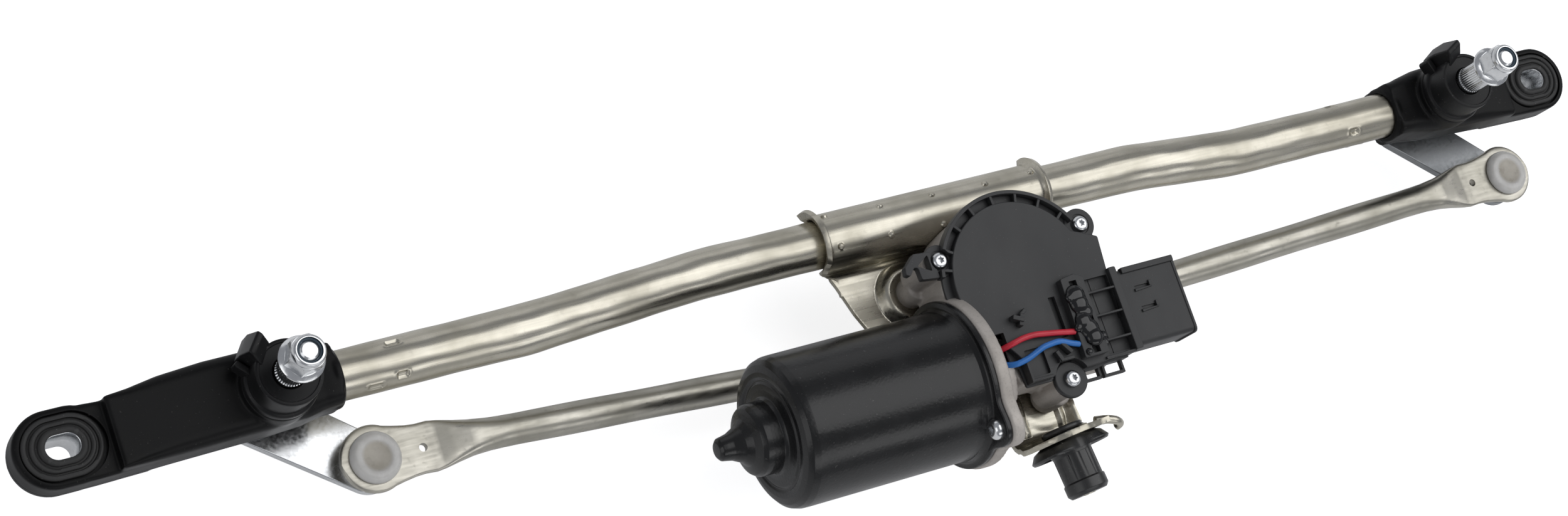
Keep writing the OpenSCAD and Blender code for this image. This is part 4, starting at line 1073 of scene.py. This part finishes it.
# ---------------------------------------------------------------- link rods
def link(node, start, start_z, end, end_z):
    """Tubular rod whose ends are pressed flat into eyes."""
    a, b = np.array([*start, start_z]), np.array([*end, end_z])
    length = np.linalg.norm(b[:2] - a[:2])
    along = np.array([(b - a)[0], (b - a)[1], 0]) / length
    across = np.array([-along[1], along[0], 0])

    def end_section(d):
        """Half width, half thickness and squareness at d mm from the eye's centre."""
        if d < 6:
            return math.sqrt(max(0.04, EYE_R ** 2 - d * d)), 1.7, 6.0
        w = np.interp(d, [6, 10, 15, 19, 24, 28, 34, 40, 48, 54],
                      [12.1, 11.2, 10.3, 10.0, 10.2, 9.6, 8.3, 7.2, 6.5, 6.35])
        t = np.interp(d, [22, 26, 32, 40, 50, 56], [1.7, 2.1, 3.4, 5.0, 6.1, 6.35])
        k = np.interp(d, [24, 34, 44, 54], [6, 3.4, 2.5, 2.0])
        return float(w), float(t), float(k)

    near = list(-EYE_R * np.cos(np.linspace(0, math.pi / 2, 14)) * 0.999) + list(np.arange(1, 56.1, 1.0))
    # distance along the rod, and the distance to the nearest eye's centre
    stations = [(s, s) for s in near] + [(s, 60) for s in np.arange(60, length - 59, 4.0)]
    stations += [(length - s, s) for s in near[::-1]]
    rings = []
    angles = np.linspace(0, 2 * math.pi, 56, endpoint=False)
    c, n = np.cos(angles), np.sin(angles)
    for s, d in stations:
        w, t, k = end_section(d)
        z = start_z + (end_z - start_z) * np.clip((s - 42) / (length - 84), 0, 1)
        wobble = 0.12 * math.sin(s * 0.09) if d == 60 else 0.0
        px = np.sign(c) * np.abs(c) ** (2 / k) * (w + wobble)
        pz = np.sign(n) * np.abs(n) ** (2 / k) * (t - wobble)
        base = np.array([a[0], a[1], 0]) + along * s
        rings.append(base + across * px[:, None] + np.array([0, 0, 1.0]) * (z + pz)[:, None])
    obj = to_object(node, loft(rings))
    reach = 20.0  # from the eye's centre to the small hole
    for centre, toward, z in ((a, along, start_z), (b, -along, end_z)):
        cut(obj, drum(9.65, z - 9, z + 9, (centre[0], centre[1]), 0, 64))
        hole = centre + toward * reach
        cut(obj, drum(1.7, z - 9, z + 9, (hole[0], hole[1]), 0, 24))
    stand_in(node, obj, "link_steel", 42, False)


link("left_link", LEFT_BALL, BALL_Z, CRANK_END, LEFT_PIN_Z)
link("right_link", RIGHT_BALL, BALL_Z, CRANK_END, RIGHT_PIN_Z)


def socket_cap(node, at, z, up):
    """Ball socket with a low translucent lid."""
    profile = [(5.3, -5.5), (9.2, -5.5), (9.6, -5.1), (9.6, 1.8), (10.2, 1.85), (10.4, 2.1), (10.3, 3.2),
               (9.7, 4.4), (8.9, 5.1), (8.1, 5.35), (6.3, 5.4), (6.0, 5.2), (0, 5.15)]
    inside = [(0, 4.4), (4.4, 4.4)]
    inside += arc(BALL_R + 0.04, (0, 0), (42, 30, 15, 0, -15, -32))
    shape = lathe(profile + inside, 96, closed=True)
    if up < 0:
        shape = (shape[0] * np.array([1, 1, -1.0]), shape[1])
    stand_in(node, to_object(node, place(shape, (at[0], at[1], z))), "cap_nylon", 45, False)


socket_cap("left_link_cap", LEFT_BALL, BALL_Z, 1)
socket_cap("right_link_cap", RIGHT_BALL, BALL_Z, 1)
socket_cap("left_crank_socket", CRANK_END, LEFT_PIN_Z, -1)


def ball_stud(node, at):
    """Riveted stud whose ball has a flat top."""
    profile = [(0, -33.4), (3.6, -33.4), (4.6, -33.0), (4.7, -32.03), (3.99, -32.0), (3.99, -28.0),
               (6.8, -27.97), (6.98, -27.6), (6.6, -27.1), (4.1, -26.8), (4.0, -25.6)]
    profile += arc(BALL_R, (0, BALL_Z), range(-50, 41, 6))
    profile += [(4.4, BALL_Z + 4.3), (0, BALL_Z + 4.3)]
    stand_in(node, to_object(node, place(lathe(profile, 72), (at[0], at[1], 0))), "hidden_steel", 40, False)


ball_stud("left_ball_stud", LEFT_BALL)
ball_stud("right_ball_stud", RIGHT_BALL)


# ---------------------------------------------------------------- motor
def along_worm(shape, x):
    return place(shape, (x, WORM_Y, WORM_Z), [("Y", 90)])


def flange_outline(r, ear, waist):
    """The can's flange in (Y, Z) about the motor's axis: a disc drawn out to an ear on each side."""
    ears = [capsule((0, 0), np.array(at) * 1.02, waist, ear) for at in EARS]
    angles = np.radians(np.arange(0, 360, 2.5))
    out = []
    for a in angles:
        d = np.array([math.cos(a), math.sin(a)])
        best = r
        for p in ears:
            e = np.roll(p, -1, 0) - p
            den = d[0] * e[:, 1] - d[1] * e[:, 0]
            ok = np.abs(den) > TINY
            t = (p[ok, 0] * e[ok, 1] - p[ok, 1] * e[ok, 0]) / den[ok]
            s = (p[ok, 0] * d[1] - p[ok, 1] * d[0]) / den[ok]
            hit = t[(s >= 0) & (s <= 1) & (t > 0)]
            if len(hit):
                best = max(best, hit.max())
        out.append(best)
    out = np.array(out)
    for _ in range(3):
        out = blurred(np.r_[out[-1], out, out[0]])
    return np.column_stack([out * np.cos(angles), out * np.sin(angles)])


def across_x(outline, x0, x1, soft):
    """An outline in (Y, Z) about the motor's axis, made into a plate from x0 to x1."""
    v, f = prism(outline, 0, x1 - x0, soft, 3)
    return np.column_stack([v[:, 2] + x0, v[:, 0] + WORM_Y, v[:, 1] + WORM_Z]), f


def motor():
    """Drawn can with its bearing boss, flange and vent hole."""
    outer = [(0, -24.4), (3.2, -24.4), (4.6, -23.2), (5.1, -20.5), (5.5, -18.6), (7.4, -14.6),
             (9.6, -12.2), (11.6, -11.4),
             (13.4, -10.6), (14.6, -8.8), (14.8, -6.5), (14.9, -1.8), (15.8, -0.4), (18.5, 0.0),
             (21.0, 0.1), (21.8, 0.7), (22.6, 0.7),
             (23.4, 0.0), (25.6, 0.0), (28.4, 0.7), (30.2, 2.4), (31.0, 5.2), (CAN_R, 8.0),
             (CAN_R, CAN_LENGTH - 5.2),
             (31.3, CAN_LENGTH - 2.6), (32.2, CAN_LENGTH - 0.9), (33.6, CAN_LENGTH - 0.1),
             (33.8, CAN_LENGTH + 2)]
    inner = [(29.5, CAN_LENGTH + 2), (29.5, 5.6), (26, 1.8), (14, 1.6), (13.2, 1.6), (13.2, -8.6),
             (6.2, -12.6), (4.0, -18), (3.4, -22.6), (0, -22.8)]
    profile = fillet(outer, 0.9, 2, closed=False)
    can = to_object("c", along_worm(lathe([tuple(p) for p in profile] + inner, 128), CAN_END))
    unite(can, across_x(flange_outline(35.0, 7.4, 27), CAN_MOUTH - 2.4, CAN_MOUTH, 0.6))
    cut(can, along_worm(plug(29.5, -3, 4, 96), CAN_MOUTH - 2))
    cut(can, *[place(plug(2.4, -3, 3, 24), (CAN_MOUTH - 1, WORM_Y + y, WORM_Z + z), [("Y", 90)]) for y,
               z in EARS])
    cut(can, place(box(-2.2, 2.2, -CAN_R - 1, -CAN_R + 3, -2, 2, 0.3, 0.3), (-115, WORM_Y, WORM_Z),
                   [("X", 43)]))
    stand_in("motor_can", can, "can_black", 38, False)


motor()


def pan_head(r, h, shank, length):
    """A screw with a domed head and a six-lobed recess, pointing along -Z."""
    dome = [(0, -length), (shank * 0.7, -length), (shank, -length + 0.6), (shank, -0.02),
            (r * 0.97, -0.02), (r, 0.25), (r * 0.985, h * 0.45),
            (r * 0.87, h * 0.78), (r * 0.66, h * 0.96), (r * 0.45, h), (0, h)]
    obj = to_object("s", lathe(dome, 56))
    lobes = circle(1, n=60)
    lobes *= r * (0.36 + 0.07 * np.cos(6 * np.arctan2(lobes[:, 1], lobes[:, 0])))[:, None]
    cut(obj, prism(lobes, h - 1.6, h + 1, 0))
    return obj


def screws(node, head, places):
    """The same screw at each place: (at, turn)."""
    one = to_shape(pan_head(*head))
    stand_in(node, to_object(node, join(*[place(one, at, turn) for at, turn in places])), "bright_zinc", 35)


screws("can_screws", (4.4, 3.3, 2.05, 9),
       [((CAN_MOUTH - 2.05, WORM_Y + y, WORM_Z + z), [("Y", -90)]) for y, z in EARS])
screws("cover_screws", (3.6, 2.7, 1.65, 13),
       [((*at, z), [("Z", turn)]) for at, z, turn in
        zip(SCREW_AT, (COVER_BASE + 0.05, COVER_BASE + 0.05, 29.55), (20, 5, 40))])


# ---------------------------------------------------------------- gear housing
def gear_housing():
    """Casting round the wheel and the worm, with pillars to the bracket and a flange for the can."""
    edge = [(0, 20), (36, 15), (38.5, 8), (38.5, -39.5), (20, -43.5), (-13.5, -43), (-24, -24)]
    throat = [(0, 0), (31, 0), (30.5, 6), (21.5, 9.5), (19.3, 12), (19.3, 18), (0, 18)]
    shells = [prism(circle(34.6, n=72), 2, 25.9, 0.6), prism(fillet(edge, 2, 3), 2, 25.9, 0.6)]
    shells += [drum(6.0, 4, 25.9, p, 0.6) for p in SCREW_AT]
    shells.append(drum(12, -13, 3, soft=0.6))
    shells += [drum(6.6, PLATE_TOP + 1.6, 7, p, 0.5) for p in PILLAR_AT]
    shells += [along_worm(plug(11, 0, 69, 64), FLANGE_X), along_worm(lathe(throat, 72), FLANGE_X),
               across_x(flange_outline(35.9, 8.2, 29), FLANGE_X, FLANGE_X + 6, 0.9)]
    obj = cast("g", 0.75, 3, *shells)
    # wheel chamber, output bore, worm bore and its mouth
    cut(obj, drum(30.5, 5, 28, soft=0), drum(8, -14, 6, soft=0),
        along_worm(plug(6.8, -1, 64, 48), FLANGE_X),
        along_worm(lathe([(0, -1), (27.5, -1), (27.5, 4), (19, 12), (0, 12)], 64), FLANGE_X))
    # slot for the wires, notch clear of the crank, and room for the tube
    cut(obj, box(-26, -18, -35, -21, 18, 38, 0, 0.5), box(-37, -29, -4.2, 16, -23, -15.3, 0, 0.5),
        place(plug(12.5, 0, 130, 64), (-70, TUBE_Y, 0), [("Y", 90)]))
    stand_in("gear_housing", obj, "cast_alloy", 50, False)


gear_housing()


# ---------------------------------------------------------------- gear cover and connector
def gear_cover():
    """Moulded cover with its screw lugs, rim ribs, wire channels, terminal tower and connector shell."""
    low = COVER_BASE - 1.5
    right = fillet([(0, 20), (36, 21), (41.3, 9), (39.8, -7), (38, -41.5), (20, -44.5), (-14, -44.5),
                    (-14.5, -36), (-24, -27)],
                   [0, 2, 2, 2, 1, 2, 1, 1, 1], 4)
    tab = fillet([(-37, 19.6), (-44.5, 20.2), (-50.2, 15.6), (-50.8, 12.6), (-49, 11.6), (-46.2, 14.6),
                  (-44.6, 14.2), (-44.4, 9), (-36, 8)],
                 0.8, 3)
    plateau = fillet([(8, 24), (29, 13.5), (40.6, 8.4), (39.1, -7.5), (37.2, -41), (20, -43.2),
                      (-12.4, -43.2), (-13, -34), (-21, -22)],
                     [0, 1, 1, 1, 1, 1, 1, 1, 0], 3)
    wall, floor_ring = (np.vstack([circle(outer, (0, 0), 70, 29, 168),
                                   circle(inner, (0, 0), 70, 29, 168)[::-1]])
                        for outer, inner in ((37.0, 35.4), (36.4, 30)))
    shapes = [prism(circle(35.45, n=120), low, COVER_BASE, 0.3), prism(right, low, COVER_BASE, 0.3)]
    shapes += [drum(7.0, low, COVER_BASE + 0.6, p, 0.35) for p in SCREW_AT[:2]]
    shapes += [prism(tab, low, COVER_BASE + 2.2, 0.4),
               prism(circle(32.0, n=140), COVER_BASE - 0.6, COVER_TOP, 0.45, 3),
               prism(plateau, COVER_BASE - 0.6, COVER_TOP, 0.45, 3),
               prism(wall, COVER_BASE - 1.5, COVER_TOP + 0.2, 0.3),
               prism(floor_ring, low, COVER_BASE, 0.2)]
    rib = box(31.4, 36.0, -0.6, 0.6, COVER_BASE - 0.3, COVER_TOP - 0.2, 0.2, 0.2)
    shapes += [place(rib, turn=[("Z", a)]) for a in (38, 56, 74, 93, 112, 130, 149, 163)]
    obj = fuse("cover", *shapes)
    # underside, then the seats and bores of the two upper screws
    cut(obj, drum(29, COVER_BASE - 3, COVER_TOP - 2.5, soft=0))
    for p in SCREW_AT[:2]:
        cut(obj, drum(4.5, COVER_BASE + 0.04, COVER_TOP + 4, p, 0, 40),
            drum(2.1, low - 2, COVER_TOP + 4, p, 0, 24))
    # hole in the left tab, slot beside the tower, seat of the lower screw, wire opening and terminal well
    cut(obj, prism(fillet([(-44.6, 14.8), (-38.6, 18.6), (-38.6, 11.4)], 0.5, 2), COVER_BASE - 3,
                   COVER_TOP + 3, 0),
        box(7.4, 10.6, -29, -11.5, COVER_TOP - 2.4, COVER_TOP + 2, 0, 0.2),
        prism(circle(8.3, SCREW_AT[2], 40), COVER_BASE - 3, COVER_TOP + 4, 0),
        box(-27, -18, -33, -20.5, 20, 40, 0, 0.4),
        box(26.0, 38.0, -40.8, -8.2, COVER_BASE + 0.8, 60, 0, 0.6))
    # recessed tray for the wires at the lower left
    cut(obj, prism(fillet([(-12, -30), (-12, -41.5), (-3, -41.5), (-3, -30)], 1, 3), COVER_TOP - 1.7,
                   COVER_TOP + 2, 0))
    more = [
        # lower screw's seat and the strip beside it
        prism(circle(7.7, SCREW_AT[2], 48), 26.8, 29.5, 0.8, 3),
        box(-3, 15, -44, -38.6, 26.8, 28.6, 0.3, 0.4),
        # walls round the tray
        box(-13.4, -12.2, -43.6, -33, COVER_BASE, COVER_TOP + 1.5, 0.25, 0.2),
        box(-13.4, -3, -43.6, -42.4, COVER_BASE, COVER_TOP + 1.5, 0.25, 0.2)]
    # three-armed clip and two wire guides: low and high X and Y, top, place and turn
    for x0, x1, y0, y1, top, x, y, turn in (
            (-2.6, 2.6, -1.0, 1.0, 36, -11, -17, -25), (-1.0, 1.0, -3.0, 2.2, 35.2, -9.2, -17.4, -25),
            (-0.8, 3.4, -0.8, 0.8, 34.4, -8.6, -15.6, 30), (-0.9, 0.9, -3, 3, 35.5, 6.2, -33.5, 35),
            (-0.9, 0.9, -2.4, 2.4, 34.8, 2.2, -36.2, 20)):
        more.append(place(box(x0, x1, y0, y1, 31, top, 0.3, 0.3), (x, y, 0), [("Z", turn)]))
    more.append(box(1.5, 9, -38.6, -37.2, 31, 34, 0.3, 0.3))
    # tower round the terminals, and the ribs beside it
    tower = fillet([(12.6, -40), (24.5, -40), (24.5, -7), (20.5, -5), (13.6, -6)], 1.0, 3)
    more.append(prism(tower, COVER_TOP - 0.5, COVER_TOP + 4, 0.4))
    for y in (-14.2, -24.3, -35.0):
        more.append(box(24, 39, y - 0.45, y + 0.45, COVER_BASE + 0.4, COVER_TOP + 2.0, 0.2, 0.2))
    more.append(box(24, 39, -42.6, -41.4, COVER_TOP - 0.4, COVER_TOP + 1.2, 0.2, 0.2))
    # connector shell, collar, latch, end collar and the web under it
    more += [
        across_x(fillet([(-7.6, 0), (25.4, 0), (25.4, 18.5), (-7.6, 18.5)], 2.4, 4), 38.5, 72.5, 0.7),
        box(38.4, 42.0, -42, -6, 11, 34.4, 0.5, 0.8),
        box(46, 72.3, -9.6, -7.0, 28.5, 31.6, 0.4, 0.5),
        across_x(fillet([(-8.2, -0.4), (26.0, -0.4), (26.0, 18.9), (-8.2, 18.9)], 2.8, 4), 71.2, 72.5, 0.3),
        box(30, 40, -41, -8, 26.8, 29.6, 0.2, 0.3)]
    # loops that hold the cable at the lower right
    for x0, x1 in ((15.5, 24.0), (25.0, 35.5)):
        for a, b, y in ((x0, x0 + 1.3, -42), (x1 - 1.3, x1, -42), (x0, x1, -47.2)):
            more.append(box(a, b, -48.5, y, 22.5, 25.0, 0.3, 0.3))
    more.append(box(14, 37, -43.4, -41.6, 21.5, 28.4, 0.3, 0.3))
    unite(obj, *more)
    # lower screw's bore, the connector's mouth, and the tower's well with its end pockets
    cut(obj, drum(2.1, 20, 40, SCREW_AT[2], 0, 24), box(46.5, 80, -38.5, -9.5, 14, 28.5, 0.4, 1.0),
        box(15.5, 22.5, -34.5, -12.5, COVER_TOP + 1, COVER_TOP + 6, 0, 0.5))
    for y in (-9.3, -37.5):
        cut(obj, box(17.0, 20.6, y - 1.5, y + 1.5, COVER_TOP + 1.2, COVER_TOP + 6, 0, 0.2))
    # two snap fingers on the connector
    for x, y in ((50, -16.4), (50, -25.4)):
        cut(obj, box(x, x + 8, y - 0.6, y + 0.6, 29.6, 32, 0, 0.1))
        wedge = [(x - 0.5, y - 1.9), (x + 8, y - 1.3), (x + 8, y - 0.7), (x - 0.5, y - 0.7)]
        unite(obj, prism(wedge, 30.2, 31.3, 0.25),
              box(x + 6.9, x + 8.1, y - 0.9, y + 1.6, 30.2, 31.5, 0.2, 0.2))
    stand_in("gear_cover", obj, "cover_plastic", 32)


gear_cover()


def blob(at, r, flat):
    """A ball pressed flatter along Z."""
    t = np.linspace(0, math.pi, 13)
    return place(lathe(np.column_stack([r * np.sin(t), -r * np.cos(t) * flat]), 24), at)


def sealant():
    """Poured filling, set in glossy lumps that stand over the tower's rim."""
    blobs = [box(15.6, 22.4, -34.4, -12.6, COVER_TOP + 1.1, COVER_TOP + 3.4, 0.3, 0.8)]
    for k in range(6):
        y = -32.5 + 3.7 * k
        x = 18.6 + 1.6 * math.sin(k * 2.3 + 0.6)
        r = 4.2 + 0.7 * math.sin(k * 1.7)
        blobs.append(blob((x, y, COVER_TOP + 3.7 + 0.5 * math.cos(k * 2.9)), r, 0.6))
    for bx, by, bz, r in ((14.2, -14.5, 4.4, 1.9), (13.6, -27.5, 4.2, 1.8), (24.2, -33.0, 3.6, 2.1),
                          (24.6, -36.2, 3.0, 1.6), (15.0, -38.0, 4.2, 1.7)):
        blobs.append(blob((bx, by, COVER_TOP + bz), r, 0.8))
    obj = cast("s", 0.4, 16, *blobs)
    stand_in("potting_sealant", obj, "sealant", 80, False)


sealant()


def wire(node, points):
    """Insulated wire along a softened line."""
    line = smooth_line(points, 0.6, 14)
    stand_in(node, to_object(node, rod(line, WIRE_R, 20)), SLOT_OF[node], 60, False)


wire("red_wire", [(-22, -27, 22), (-20.5, -26.8, 29), (-17, -26.3, 33.5), (-12, -25.2, 34.4),
                  (-6, -25, 34.6), (4, -26.6, 34.4), (12.6, -28.2, 34.6)])
wire("blue_wire", [(-23, -31, 22), (-21.5, -33, 29), (-18, -34.8, 33), (-12, -33.8, 34.2),
                   (-4, -30.8, 34.8), (4, -30.2, 34.9), (9, -32.4, 34.6), (12.8, -33.6, 34.4)])


# ---------------------------------------------------------------- everything else keeps its CAD shape
for node in ("left_bush", "right_bush", "thrust_washers", "right_crank_socket", "left_crank_ball",
             "right_crank_ball", "output_shaft", "crank_pin", "output_bush", "can_bush", "worm_bush",
             "end_stop", "magnets", "brush_springs", "armature_windings"):
    refine(node, 0.2, 1, 40)
for node in ("crank_arm", "crank_nut", "mounting_screws"):
    refine(node, 0.4, 2, 30)
for node in ("worm_wheel", "contact_disc", "contact_fingers", "cover_gasket", "connector_terminals",
             "brush_card", "brushes",
             "armature_core", "armature_shaft"):
    slots = frame["nodes"][node].data.materials
    slots.clear()
    slots.append(MAT[SLOT_OF[node]])


# ---------------------------------------------------------------- stage, light and camera
def floor():
    """A pale floor that looks white to the camera and stays plain in reflections."""
    half, squares, gap = 3.0, 8, 0.0005
    side = np.linspace(-half, half, squares + 1)
    corners = [(x, y, cad_box[0].z - gap) for x in side for y in side]
    firsts = [i * len(side) + j for i in range(squares) for j in range(squares)]
    mesh = bpy.data.meshes.new("floor")
    mesh.from_pydata(corners, [], [[k, k + len(side), k + len(side) + 1, k + 1] for k in firsts])
    obj = add_object("floor", mesh)
    n = Nodes("floor_look")
    cloud = n.noise(300, 2)
    n.done(n.mix(cloud, (0.86, 0.86, 0.86), (0.9, 0.9, 0.9)), 0.8, 0.0)
    n.bsdf.inputs["Emission Color"].default_value = (1, 1, 1, 1)
    path = n.add("ShaderNodeLightPath")
    n.set(n.bsdf.inputs["Emission Strength"], n.math("MULTIPLY", path.outputs["Is Camera Ray"], 0.7))
    mesh.materials.append(n.mat)


def lamp(name, at, target, size, power):
    data = bpy.data.lights.new(name, "AREA")
    data.shape = "RECTANGLE"
    data.size, data.size_y = size
    data.energy = power
    obj = add_object(name, data)
    obj.location = at
    obj.rotation_mode = "QUATERNION"
    obj.rotation_quaternion = (Vector(target) - Vector(at)).to_track_quat("-Z", "Y")


floor()
lamp("overhead", (0.85, 0.02, 1.55), (0.1, 0.02, 0), (1.5, 2.4), 17)
lamp("back", (0.2, 2.3, 0.7), (0, 0, 0), (3.0, 1.2), 5)
lamp("front", (0.3, -2.1, 1.1), (0, 0, 0), (2.4, 0.8), 9)
lamp("side", (-2.0, -0.3, 0.8), (-0.1, 0, 0), (1.2, 1.6), 6)
world = bpy.data.worlds.new("world")
scene.world = world
world.use_nodes = True
sky = world.node_tree.nodes["Background"].inputs
sky["Color"].default_value = (0.9, 0.93, 1.0, 1)
sky["Strength"].default_value = 0.3
scene.view_settings.view_transform = "Standard"

camera = add_object("camera", bpy.data.cameras.new("camera"))
right, up = Vector((0.86436, -0.32294, 0.38547)), Vector((0.21484, 0.93022, 0.29756))
back = right.cross(up).normalized()
up = back.cross(right).normalized()
camera.matrix_world = Matrix.Translation(Vector((-0.66545, -0.18514, 1.11563))) @ Matrix(
    (right.normalized(), up, back)).transposed().to_4x4()
camera.data.lens = 72
camera.data.sensor_width = 36
camera.data.clip_start = 0.01
scene.camera = camera
